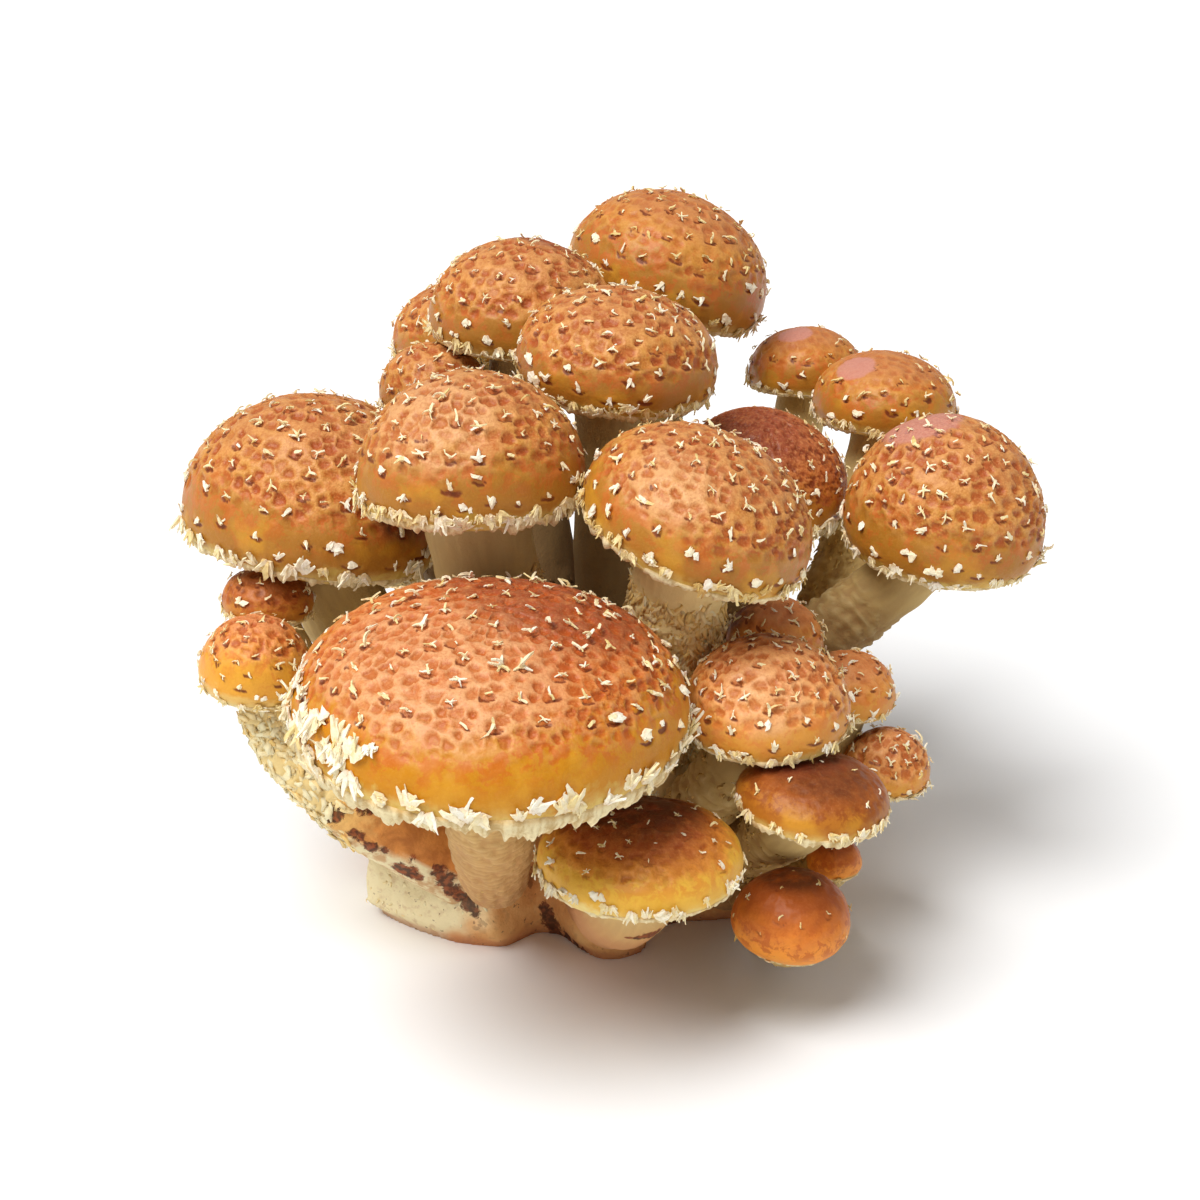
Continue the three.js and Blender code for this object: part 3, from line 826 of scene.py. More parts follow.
def gill_mesh(cap):
    radius = cap.radius
    curl = cap.curl
    lip = lip_size(cap)
    inner = radius * math.sin(curl) - 1.5 * lip
    floor = LOBE * radius * math.cos(curl)
    gills = 4 * max(6, round(2 * math.pi * inner / GILL_PITCH / 4))
    shares = np.linspace(1, 0, max(5, round(inner / 2.2)) + 1)
    outline = [(inner * share, floor + GILL_RISE * radius * (1 - share)) for share in shares]
    outline = [(0, floor + 0.2 * radius)] + [(inner, floor + 0.06 * radius + lip)] + outline
    mesh = spun(f"{cap.name}_gills", outline, 4 * gills)
    points, turn, along = opened(mesh)
    share = np.clip(np.hypot(points[:, 0], points[:, 1]) / inner, 0, 1)
    depth = (0.5 + 0.05 * radius) * np.sin(np.pi * np.clip(share, 0.05, 1)) ** 0.5 * (along > 1.5)
    wave = 0.5 + 0.5 * np.cos(gills * turn + 0.8 * np.sin(3 * turn + cap.seed))
    points[:, 2] += depth * (wave - 0.5)
    points[:, :2] *= waver(cap, turn)[:, None]
    write_points(mesh, placed(cap, points))
    keep_numbers(mesh, valley=wave)
    return mesh


def gill_material():
    gill = Graph("gill_flesh", Specular_IOR_Level=0.3)
    gill.colour = gill.blend(gill.clouds(4, 3), (222, 196, 142), (206, 172, 112))
    gill.tint(0.6 * gill.stored("valley"), (150, 106, 58))
    gill.bump(gill.clouds(0.5, 3), 0.08)
    return gill.finish(0.62 + 0.15 * gill.clouds(1.5, 2))


dress("gills", gill_mesh, "gill_flesh", gill_material())

# %% [markdown]
# ## One slip and one chip, planted many times
# Scales, fringe and stem wool are all small torn bits of skin. Two are modelled: a slip, which is a cube
# cut across so that it can bend, and a chip, which is a cube cut like a noughts-and-crosses board so
# that its edge can be torn. All the others are copies, each bent, narrowed, turned and roughened by its
# own numbers and joined in one mesh.

# %% Slip and chip templates
def cut_cube(cuts, directions):
    """A unit cube, its edges along the given axes cut into pieces; its corners and faces."""
    cube = bmesh.new()
    bmesh.ops.create_cube(cube, size=1)
    chosen = []
    for edge in cube.edges:
        run = edge.verts[0].co - edge.verts[1].co
        if any(abs(run[direction]) > 0.5 for direction in directions):
            chosen.append(edge)
    bmesh.ops.subdivide_edges(cube, edges=chosen, cuts=cuts, use_grid_fill=True)
    cube.verts.index_update()
    corners = np.array([corner.co[:] for corner in cube.verts])
    faces = np.array([[corner.index for corner in face.verts] for face in cube.faces])
    cube.free()
    return corners, faces


LONG_SLIP = cut_cube(3, (0,))
SHORT_SLIP = cut_cube(1, (0,))
CHIP = cut_cube(2, (0, 1))
print("faces in a slip:", len(LONG_SLIP[1]), "or", len(SHORT_SLIP[1]), "and in a chip:", len(CHIP[1]))


def columns(*numbers):
    return np.stack(numbers, axis=1)


def drawn(rng, count, *ranges):
    """Columns of evenly spread random numbers, one for each range."""
    return columns(*[rng.uniform(low, high, count) for low, high in ranges])


def drawn_bends(rng, count, rise, curl, sway):
    return columns(*drawn(rng, count, rise, curl).T, rng.normal(0, sway, count))


def varied(rng, tone, spread, count):
    """That many tones from 0 to 1 around one, or around one for each."""
    return np.clip(tone + rng.normal(0, spread, count), 0, 1)


def bent(rng, template, roots, along, out, size, bend, tip, *tones):
    """A batch of copies of a slip. Size is length, width and thickness; bend its rise at the root, its
    curl and its sway to one side; tip how wide the end is for the slip's width; and tones a tone and
    its spread."""
    across, sideways, lift = template[0].T
    across = across + 0.5
    length, width, thick = size.T[:, :, None]
    rise, curl, sway = bend.T[:, :, None]
    curl = np.where(np.abs(curl) < 0.01, 0.01, curl)
    angle = rise + curl * across
    forward = length * (np.sin(angle) - np.sin(rise)) / curl
    raised = length * (np.cos(rise) - np.cos(angle)) / curl
    narrow = (1 - (1 - tip[:, None]) * across**1.7) * (0.7 + 0.3 * np.minimum(1, 4 * across))
    side = np.cross(out, along)[:, None]
    along = along[:, None]
    out = out[:, None]
    normal = np.cos(angle)[..., None] * out - np.sin(angle)[..., None] * along
    centre = roots[:, None] + forward[..., None] * along + raised[..., None] * out
    ragged = rng.normal(0, 0.13, (len(roots), len(across), 3)) * width[..., None]
    ragged[..., 2] *= 0.5
    corners = (
        centre
        + side * (sideways * width * narrow + sway * length * across**2 + ragged[..., 0])[..., None]
        + normal * (lift * thick * (0.5 + 0.5 * narrow) + ragged[..., 2])[..., None]
        + along * (ragged[..., 1] * (across > 0.9))[..., None]
    )
    return template, corners, varied(rng, *tones, len(roots))


def torn_chips(rng, roots, along, out, size, tilt, flare):
    """Copies of the chip, lying flat with a torn edge. Size is length, width and thickness, tilt lifts
    the lower edge, and flare widens it."""
    forward, sideways, lift = CHIP[0].T
    length, width, thick = size.T[:, :, None]
    shape = (len(roots), len(forward))
    edge = np.maximum(np.abs(forward), np.abs(sideways)) > 0.4
    corner = edge & (np.abs(forward * sideways) > 0.2)
    torn = rng.normal(0, 0.11, (*shape, 2)) * edge[:, None]
    pull = np.where(corner, rng.uniform(0.5, 1.05, shape), 1.0)
    ahead = length * (forward * pull + torn[..., 0])
    aside = width * (sideways * pull * (1 + flare[:, None] * forward) + torn[..., 1])
    above = lift * np.where(edge, 0.6, 1.1) + 0.4 + rng.normal(0, 0.12, shape)
    side = np.cross(out, along)[:, None]
    tilt = tilt[:, None]
    lifted = thick * above + np.sin(tilt) * (ahead + 0.3 * length)
    return (
        roots[:, None]
        + along[:, None] * (np.cos(tilt) * ahead)[..., None]
        + side * aside[..., None]
        + out[:, None] * lifted[..., None]
    )


def planted(name, *batches):
    """One mesh of many copies, each with its own tone, and how far along the copy a vertex is."""
    points, faces, tones, tips = [], [], [], []
    before = 0
    for template, corners, tone in batches:
        copies, size, _ = corners.shape
        points.append(corners.reshape(-1, 3))
        shifts = before + size * np.arange(copies)[:, None, None]
        faces.append((template[1][None] + shifts).reshape(-1, 4))
        tones.append(np.repeat(tone, size))
        tips.append(np.tile(template[0][:, 0] + 0.5, copies))
        before += copies * size
    mesh = bpy.data.meshes.new(name)
    mesh.from_pydata(np.concatenate(points) * MM, [], np.concatenate(faces))
    keep_numbers(mesh, tone=np.concatenate(tones), tip=np.concatenate(tips))
    return mesh


# %% [markdown]
# ## Scales
# High on a cap a scale is a small star of thin slips, or one to three slips that point apart, mostly
# across the slope, and a few stand up and curl over. Lower down it is a flat, whiter chip with a torn
# edge, or it has split into short prongs.

# %% Where slips point
def rooted(cap, phi, turn):
    """Points on a cap and the skin's directions there."""
    return skin(cap, phi, turn), *skin_axes(cap, phi, turn)


def spread_out(rng, count, spread, heading):
    """For each root's slips the root's number, each slip's place from the middle one, its heading."""
    which = np.repeat(np.arange(len(count)), count)
    order = np.arange(len(which)) - (np.cumsum(count) - count)[which]
    place = order - (count[which] - 1) / 2
    return which, place, heading[which] + place * spread[which] + rng.normal(0, 0.2, len(which))


def headed(angle, down, side):
    return np.cos(angle)[:, None] * down + np.sin(angle)[:, None] * side


# %% How the scales differ
tell_apart(
    dict(star_size=1, star_tone=0.68, star_share=0.62, crowned=0.5),
    front_large=dict(crowned=0.35),
    right_large=dict(crowned=0.75),
    top_back=dict(star_tone=0.52, star_share=0.15, crowned=0.6),
    front_low=dict(star_size=0.8),
    centre_back=dict(star_size=0.8),
    right_back=dict(star_tone=0.55, star_share=0.15, crowned=0.6),
    right_low=dict(star_size=0.75, star_share=0.15),
    far_right_back=dict(star_tone=0.55, star_share=0.15),
    front_bud=dict(star_size=0.7, star_tone=0.55, star_share=0.15),
    right_bud=dict(star_size=0.65, star_share=0.15),
)

# %% Scale slips and chips
def cap_stars(rng, cap, phi, turn):
    """The slips of the thin scales high on a cap."""
    roots, down, side, out = rooted(cap, phi, turn)
    scales = len(phi)
    big = (0.86 + 0.021 * cap.radius) * rng.uniform(0.65, 1.3, scales) * cap.star_size
    often = cap.star_share * (1 - 0.5 * smooth(phi / cap.curl, 0.35, 0.6))
    star = rng.random(scales) < often
    count = np.where(star, rng.integers(3, 6, scales), rng.integers(1, 4, scales))
    spread = np.where(star, 2 * np.pi / count, rng.uniform(2.4, 3.3, scales))
    across = np.where(rng.random(scales) < 0.75, np.pi / 2, 0) + rng.normal(0, 0.4, scales)
    which, _, angle = spread_out(rng, count, spread, across)
    along = headed(angle, down[which], side[which])
    normal = out[which]
    slips = len(which)
    thready = rng.random(slips) < 0.16
    size = big[which] * rng.uniform(0.65, 1.2, slips) * np.where(thready, 1.35, 1)
    wide = np.where(star, 0.22, 0.3)[which] * rng.uniform(0.75, 1.4, slips) * np.where(thready, 0.6, 1)
    rise = np.where(thready, rng.uniform(0.8, 1.5, slips), rng.uniform(0.0, 0.5, slips))
    curl = np.where(thready, rng.uniform(-2.8, -1.4, slips), rng.uniform(-0.9, 0.5, slips))
    start = roots[which] - 0.2 * size[:, None] * along + 0.24 * normal
    return bent(
        rng, LONG_SLIP, start, along, normal, columns(size, size * wide, 0.15 * size),
        columns(rise, curl, rng.normal(0, 0.3, slips)), rng.uniform(0.3, 0.8, slips), cap.star_tone, 0.14,
    )


def cap_chips(rng, cap, phi, turn):
    """The flat chips low on a cap; some lie in pairs."""
    phi = np.concatenate([phi, phi[::3] + 0.02])
    turn = np.concatenate([turn, turn[::3] + 1.1 / cap.radius])
    roots, down, side, out = rooted(cap, phi, turn)
    count = len(phi)
    size = (1.35 + 0.04 * cap.radius) * rng.uniform(0.5, 1.05, count) * cap.star_size
    along = headed(rng.normal(0, 0.9, count), down, side)
    shape = size[:, None] * drawn(rng, count, (0.5, 0.85), (0.55, 1.0), (0.18, 0.3))
    tilt = rng.uniform(0.0, 0.4, count)
    corners = torn_chips(rng, roots, along, out, shape, tilt, rng.uniform(-1.3, 1.3, count))
    return CHIP, corners, varied(rng, 0.84, 0.08, count)


def cap_crowns(rng, cap, phi, turn):
    """Scales low on a cap that split into short, broad prongs, which point up or down the cap."""
    roots, down, side, out = rooted(cap, phi, turn)
    count = rng.integers(2, 5, len(phi))
    heading = np.where(rng.random(len(phi)) < 0.6, np.pi, 0) + rng.normal(0, 0.6, len(phi))
    which, _, angle = spread_out(rng, count, rng.uniform(0.4, 0.75, len(phi)), heading)
    along = headed(angle, down[which], side[which])
    slips = len(which)
    size = (1.15 + 0.03 * cap.radius) * rng.uniform(0.6, 1.15, slips)
    start = roots[which] - 0.25 * size[:, None] * along + 0.2 * out[which]
    return bent(
        rng, LONG_SLIP, start, along, out[which], columns(size, 0.34 * size, 0.18 * size),
        drawn_bends(rng, slips, (0, 0.5), (-0.8, 0.3), 0.2), rng.uniform(0.15, 0.5, slips), 0.84, 0.08,
    )


def cap_scales(cap):
    """Every scale of a cap, in batches of slips and chips."""
    rng = np.random.default_rng(300 + cap.seed)
    spots = SPOTS[cap.name]
    phi = spots.phi[spots.scaled]
    turn = spots.turn[spots.scaled]
    low = rng.random(len(phi)) < 0.97 * smooth(phi / cap.curl, 0.58, 0.74)
    crowned = low & (rng.random(len(phi)) < cap.crowned)
    flat = low & ~crowned
    return (
        cap_stars(rng, cap, phi[~low], turn[~low]),
        cap_chips(rng, cap, phi[flat], turn[flat]),
        cap_crowns(rng, cap, phi[crowned], turn[crowned]),
    )


# %% [markdown]
# ## Fringe
# When the cap opened, the veil that closed it below tore off the stem. What is left of it stands
# round the rim in ragged fans: a thin torn chip with four to six pointed slips spreading from it.

# %% How the fringes differ
# Extra fans are how many more there are, and between which angles round the cap they stand.
tell_apart(
    dict(
        fringe_size=1, fringe_pitch=1, fringe_kept=1, fringe_tone=0.55, fringe_up=0.22,
        extra_fans=(0, 0, 0),
    ),
    front_large=dict(fringe_size=1.3, fringe_tone=0.8, fringe_up=0.6, extra_fans=(20, 186, 244)),
    centre_left=dict(fringe_size=1.15, fringe_pitch=0.6, fringe_tone=0.62),
    left_large=dict(fringe_size=1.35, fringe_pitch=0.9, fringe_tone=0.72, fringe_up=0.35),
    centre_right=dict(fringe_size=0.9, fringe_pitch=0.75, fringe_tone=0.46),
    right_large=dict(fringe_tone=0.7),
    top_front=dict(fringe_pitch=0.8),
    front_low=dict(fringe_tone=0.7),
    centre_back=dict(fringe_size=1.5),
    right_front=dict(fringe_tone=0.64),
    right_low=dict(fringe_tone=0.64),
    front_bud=dict(fringe_kept=0.15),
    right_bud=dict(fringe_kept=0.15),
    back_bud=dict(fringe_kept=0.15),
)

# %% Fringe fans
def cap_fringe(cap):
    """The ragged fans round the rim, as a batch of chips and one of slips."""
    rng = np.random.default_rng(500 + cap.seed)
    radius = cap.radius
    curl = cap.curl
    larger = cap.fringe_size
    pitch = (1.6 + 0.042 * radius) * larger * cap.fringe_pitch
    count = int(2 * math.pi * radius * math.sin(curl) / pitch)
    turn = (np.arange(count) + rng.normal(0, 0.25, count)) / count * 2 * np.pi
    phi = curl - rng.uniform(0.04, 0.2, count)
    keep = rng.random(count) > 0.06
    if cap.fringe_kept < 1:
        keep &= rng.random(count) < cap.fringe_kept
    extra, first, last = cap.extra_fans
    phi = np.concatenate([phi[keep], curl - rng.uniform(0.15, 0.5, extra)])
    turn = np.concatenate([turn[keep], np.radians(rng.uniform(first, last, extra))])
    roots, down, side, out = rooted(cap, phi, turn)
    fans = len(phi)
    size = (1.3 + 0.045 * radius) * larger * rng.uniform(0.65, 1.25, fans)
    lean = rng.normal(0, 0.35, fans)
    rise = rng.uniform(-0.05, 0.4, fans)
    shape = size[:, None] * drawn(rng, fans, (0.4, 0.65), (0.5, 0.85), (0.07, 0.11))
    plate_along = headed(lean, down, side)
    plate = torn_chips(rng, roots, plate_along, out, shape, rise, rng.uniform(-0.2, 0.8, fans))
    fan_tone = np.clip(cap.fringe_tone + 0.12 * rng.normal(0, 1, fans), 0.12, 0.95)

    fingers = rng.integers(4, 7, fans)
    upward = np.where(rng.random(fans) < cap.fringe_up, np.pi, 0)
    which, place, angle = spread_out(rng, fingers, rng.uniform(0.14, 0.38, fans), lean + upward)
    root, normal, size = roots[which], out[which], size[which]
    ahead = headed(angle, down[which], side[which])
    slips = len(which)
    length = size * rng.uniform(0.55, 1.1, slips)
    width = size * rng.uniform(0.17, 0.3, slips)
    start = root + (0.13 * place * size)[:, None] * np.cross(normal, ahead) - 0.3 * length[:, None] * ahead
    start = start + (0.04 * size + 0.12)[:, None] * normal
    rise = rise[which] + rng.normal(0.05, 0.2, slips)
    teeth = bent(
        rng, LONG_SLIP, start, ahead, normal, columns(length, width, 0.1 * size),
        columns(rise, rng.uniform(-0.6, 0.5, slips), rng.normal(0, 0.12, slips)),
        rng.uniform(0.05, 0.45, slips), fan_tone[which] + 0.06, 0.1,
    )
    return (CHIP, plate, fan_tone), teeth


# %% Scale finish
def scale_mesh(cap):
    batches = cap_scales(cap) + cap_fringe(cap)
    batches = [(template, placed(cap, corners), tone) for template, corners, tone in batches]
    return planted(f"{cap.name}_cap_scales", *batches)


def scale_material():
    cream = Graph("scale_cream", Specular_IOR_Level=0.3)
    cream.ramp(
        cream.stored("tone") + 0.36 * (cream.clouds(0.9, 3) - 0.5),
        (0.0, (196, 142, 74)), (0.3, (222, 190, 112)), (0.55, (240, 220, 160)),
        (0.78, (250, 238, 204)), (1.0, (252, 247, 228)),
    )
    cream.tint(0.2 * (1 - cream.stored("tip").between(0.0, 0.4)), (214, 140, 84))
    grain = cream.clouds(0.35, 3)
    cream.tint(0.25 * grain.between(0.5, 0.7), (190, 150, 84))
    cream.bump(grain, 0.12)
    return cream.finish(0.55 + 0.2 * cream.clouds(1.2, 2))


for piece in dress("cap_scales", scale_mesh, "scale_cream", scale_material()):
    piece.data.shade_flat()

# %% [markdown]
# ## Veil
# Below the fringe the rest of the veil clings to the rim as a soft, cottony band. It is a small closed
# outline, spun round the cap. How far it hangs wavers with noise, so its lower edge is ragged and it
# slips behind the rim in places. The largest cap has kept the deepest band.

# %% Veil band
tell_apart(
    dict(hang=None),
    front_large=dict(hang=3.2),
    centre_left=dict(hang=1.8),
    left_large=dict(hang=1.3),
    centre_right=dict(hang=1.4),
    top_front=dict(hang=1.3),
    centre_back=dict(hang=2.6),
    right_low=dict(hang=1.3),
)
VEIL_FRONT = ((0.08, 0.3), (0.12, 0), (0.1, -0.35), (-0.1, -0.7), (-0.4, -1))
VEIL_GRID = 0.34


def veil_mesh(cap):
    radius = cap.radius
    curl = cap.curl
    hang = cap.hang or 0.3 + 0.035 * radius
    rim_reach = radius * math.sin(curl)
    rim_height = LOBE * radius * math.cos(curl)
    thick = 0.5 + 0.02 * radius
    outline = [(rim_reach + reach * hang, rim_height + height * hang) for reach, height in VEIL_FRONT]
    back = [(reach - thick, height + 0.35 * thick) for reach, height in reversed(outline)]
    outline = outline + back + outline[:1]
    mesh = spun(f"{cap.name}_veil", outline, steps_round(radius, VEIL_GRID))
    points, turn, _ = opened(mesh)
    around = np.stack([np.cos(turn), np.sin(turn), 0 * turn], 1)
    ring = around * radius + 71 * cap.seed
    strand = 0.6 * soft_noise(ring, 1, 11) + 0.6 * soft_noise(ring, 0.5, 13)
    ragged = 0.74 + 0.4 * soft_noise(ring, 2.9) + 0.32 * soft_noise(ring, 0.8, 3) + 0.2 * strand
    upper = rim_height + 0.3 * hang
    below = upper - points[:, 2]
    points[:, 2] = upper - below * np.clip(ragged, 0.12, 1.25)
    points += around * (0.07 * soft_noise(points + ring, 1.1, 5) + 0.16 * strand)[:, None]
    points[:, :2] *= waver(cap, turn)[:, None]
    write_points(mesh, placed(cap, points))
    keep_numbers(mesh, low=np.clip(below / (1.3 * hang), 0, 1), strand=strand)
    return mesh


def veil_material():
    veil = Graph("veil_cotton", Specular_IOR_Level=0.2)
    streaks = 0.5 * veil.clouds(0.9, 4, 0.65, 0.6) + 0.25 + 0.3 * veil.stored("strand")
    veil.colour = veil.blend(streaks.between(0.3, 0.65), (196, 164, 108), (242, 226, 180))
    veil.tint(0.4 * (1 - veil.stored("low").between(0.05, 0.3)), (220, 170, 92))
    veil.bump(streaks + 0.9 * veil.clouds(0.4, 3, 0.7), 0.17)
    return veil.finish(0.72 + 0.1 * streaks)


dress("veil", veil_mesh, "scale_cream", veil_material())

# %% [markdown]
# ## Stems
# A stem rises from the base, bends under its cap and thickens or narrows on the way. It is spun as a
# straight column and then bent: each ring moves to its place on a smooth curve that four points steer.

# %% Stem curve
def stem_anchors(stem):
    """The four points that steer the curve: foot, elbow, neck and top."""
    axis = np.array(cap_axis(stem))
    foot = np.array(stem.foot, dtype=float)
    radius = stem.radius
    reach = LOBE * radius * math.cos(stem.curl) + STEM_SINK * radius
    top = np.array(stem.at) + reach * axis
    span = np.linalg.norm(top - foot)
    rise = unit(np.array([0.35 * foot[0], 0.35 * foot[1], 22]))
    elbow = np.array(stem.elbow, dtype=float) if stem.elbow else foot + 0.4 * span * rise
    into = unit(0.6 * unit(top - elbow) + axis)
    return foot, elbow, top - NECK_SHARE * span * into, top


def stem_frame(stem, share):
    """The stem's middle at each share of its height, its direction there and two across it."""
    foot, elbow, neck, top = stem_anchors(stem)
    share = share[:, None]
    rest = 1 - share
    middle = rest**3 * foot + 3 * rest**2 * share * elbow + 3 * rest * share**2 * neck + share**3 * top
    ahead = rest**2 * (elbow - foot) + 2 * rest * share * (neck - elbow) + share**2 * (top - neck)
    ahead = unit(ahead)
    side = unit(np.cross(np.array([0.0, 1.0, 0.0]), ahead))
    return middle, ahead, side, np.cross(ahead, side)


def stem_length(stem):
    middle, _, _, _ = stem_frame(stem, np.linspace(0, 1, 40))
    return float(np.sum(np.linalg.norm(np.diff(middle, axis=0), axis=1)))


# %% [markdown]
# ## Stem skin
# Under the cap a stem is smooth and pale, with faint fibres. Lower down, its skin has torn into woolly
# ledges. The left small stem is special: low down one side is bare and orange-brown, and its foot has
# become one with the base. `BRUISES` are dark, crusted spots, each a point and a size.

# %% How the stems differ
# The wool's start and end and the bulge's place are shares of the height, from the base up, and the grid
# and the ledges' pitch are in millimetres.
# Some stems are tinted paler: on centre_right this is painted light where its cap shades the stem, on
# left_small it is the stem's own cream.
tell_apart(
    dict(stem_grid=0.75, wool=(0.05, 0.7), ledge_pitch=2.3, bulge=(0.4, 0.04), light=0, old=0, rosy=0),
    front_large=dict(
        stem_grid=0.36, wool=(0.08, 0.95), ledge_pitch=0.95, bulge=(0.55, 0.06), light=0.05, rosy=0.8,
    ),
    centre_left=dict(stem_grid=0.55, wool=(0.05, 0.74), bulge=(0.35, 0.1), light=0.1),
    left_large=dict(stem_grid=0.55, wool=(0.05, 0.55), old=0.25),
    centre_right=dict(
        stem_grid=0.36, wool=(0.3, 0.82), ledge_pitch=1.7, bulge=(0.62, 0.12), light=0.85,
    ),
    right_large=dict(stem_grid=0.55, old=0.6),
    top_back=dict(old=0.7),
    top_front=dict(wool=(0.05, 0.4), old=0.7),
    top_left=dict(wool=(0.05, 0.4), old=0.85),
    front_low=dict(stem_grid=0.55, wool=(0, 0.12), rosy=1.9),
    centre_back=dict(old=0.8),
    top_left_back=dict(old=0.7),
    left_behind=dict(old=0.8),
    left_small=dict(stem_grid=0.55, wool=(0.35, 0.9), light=0.75),
    right_under=dict(old=0.5),
)

# %% Stem form
BRUISES = (
    (-41.8, -25.4, 26.9, 1.5), (-42.9, -25, 25.6, 1.8), (-38, -24.6, 27.6, 1.6),
    (-36.4, -24.6, 27, 1.2), (-39.6, -25.3, 23.1, 1.2), (-38.4, -25.1, 22.4, 1.2),
    (-36.8, -24.8, 20.3, 1.6), (-34.6, -24.6, 19.8, 1), (-32.3, -23.5, 15.8, 1.7),
    (-31, -23.3, 14.8, 2.1), (-29.6, -23, 14, 1.4), (-30.2, -24.2, 18.2, 0.9),
    (-26.2, -23.8, 15.6, 1.5), (-25, -23.4, 13.5, 1.9), (-24.1, -22.8, 11.4, 2), (-22.8, -22.4, 9.8, 1.8),
    (4.4, -49, 17.8, 0.8), (5.8, -48.8, 17.4, 1.3), (7.2, -48.8, 17.8, 1.7), (8.4, -48, 17.4, 1.8),
    (8.2, -46.6, 16.2, 1.2),
)


def near_spots(points, spots):
    """Near 1 around each spot, which is a point and a size in millimetres."""
    found = np.zeros(len(points))
    for *spot, size in spots:
        found = np.maximum(found, peak(np.linalg.norm(points - np.array(spot), axis=1), 0, size))
    return found


def stem_radius(stem, share):
    base = stem.foot_radius + (stem.top_radius - stem.foot_radius) * share
    where, amount = stem.bulge
    return base * (1 + amount * peak(share, where, 0.16))


def wool_at(stem, share):
    start, end = stem.wool
    return smooth(share, start - 0.1, start + 0.05) * (1 - smooth(share, end - 0.06, end + 0.06))


def rind_at(stem, share, around):
    """Where the left small stem is bare, smooth and orange-brown: low down, on the side in view."""
    if stem.name != "left_small":
        return np.zeros(len(share))
    facing = around @ unit(np.array([0.4, -0.8, 0.45]))
    ragged = 0.03 * np.sin(9 * facing) + 0.02 * np.sin(23 * facing + 2) - 0.1 * around[:, 2]
    return smooth(facing, 0.0, 0.25) * (1 - smooth(share + ragged, 0.46, 0.52))


def grown_at(stem, points, lumps):
    """Where the left small stem has become one with the base: below a line that slants to the right."""
    if stem.name != "left_small":
        return 0
    line = 20.5 - 0.44 * (points[:, 0] + 36.6) + 0.7 * lumps
    return smooth(line - points[:, 2], -0.4, 0.8)


# %% Stem skin
def stem_mesh(stem):
    length = stem_length(stem)
    rings = round(length / stem.stem_grid)
    outline = [(0, 0)] + [(1, ring / rings) for ring in range(rings + 1)] + [(0, 1)]
    steps = steps_round(stem.top_radius, stem.stem_grid)
    mesh = spun(f"{stem.name}_stem_skin", outline, steps)
    points, turn, _ = opened(mesh)
    share = np.clip(points[:, 2], 0, 1)
    filled = np.clip(np.hypot(points[:, 0], points[:, 1]), 0, 1)
    middle, _, side, across = stem_frame(stem, share)
    around = headed(turn, side, across)
    radius = stem_radius(stem, share)
    pattern = np.stack([np.cos(turn) * radius, np.sin(turn) * radius, share * length], 1)
    pattern = pattern + 31 * stem.seed
    wide = soft_noise(pattern, 5.5)
    lumps = soft_noise(pattern, 1.7, 4)
    fibres = soft_noise(pattern * np.array([1, 1, 0.14]), 0.75, 2)
    wool = wool_at(stem, share)
    pitch = stem.ledge_pitch
    phase = share * length / pitch + 0.7 * wide + min(0.5, 0.25 * pitch) * lumps
    ledge = (phase % 1) ** 1.6 * smooth(lumps + 0.5 * fibres, -0.7, 0.1)
    relief = 0.35 * wide + 0.13 * fibres * (1 - 0.7 * wool)
    relief = relief + wool * ((0.14 + 0.16 * pitch) * ledge + 0.3 * lumps)
    points = middle + around * (radius * filled)[:, None] + around * (relief * filled)[:, None]
    write_points(mesh, points)
    # The inner stems are darkened low down: painted shade between the stems, and partly their browning with
    # age.
    keep_numbers(
        mesh, height=share, wool=wool, ledge=ledge * wool, fibre=fibres,
        rind=rind_at(stem, share, around), old=stem.old * (1 - smooth(share, 0.6, 0.95)),
        rosy=stem.rosy, light=stem.light, bruise=near_spots(points, BRUISES),
        grown=grown_at(stem, points, lumps),
    )
    return mesh


# %% Stem finish
def dark_marks_over(graph, name, low, high, dark, brown):
    """Lays ragged dark marks where the mesh keeps a number."""
    ragged = 1.5 * (graph.clouds(1.5, 5, 0.75, 0.6) - 0.5)
    share = 0.92 * (graph.stored(name) + ragged).between(low, high)
    graph.tint(share, graph.blend(graph.clouds(0.9, 3).between(0.4, 0.65), dark, brown))


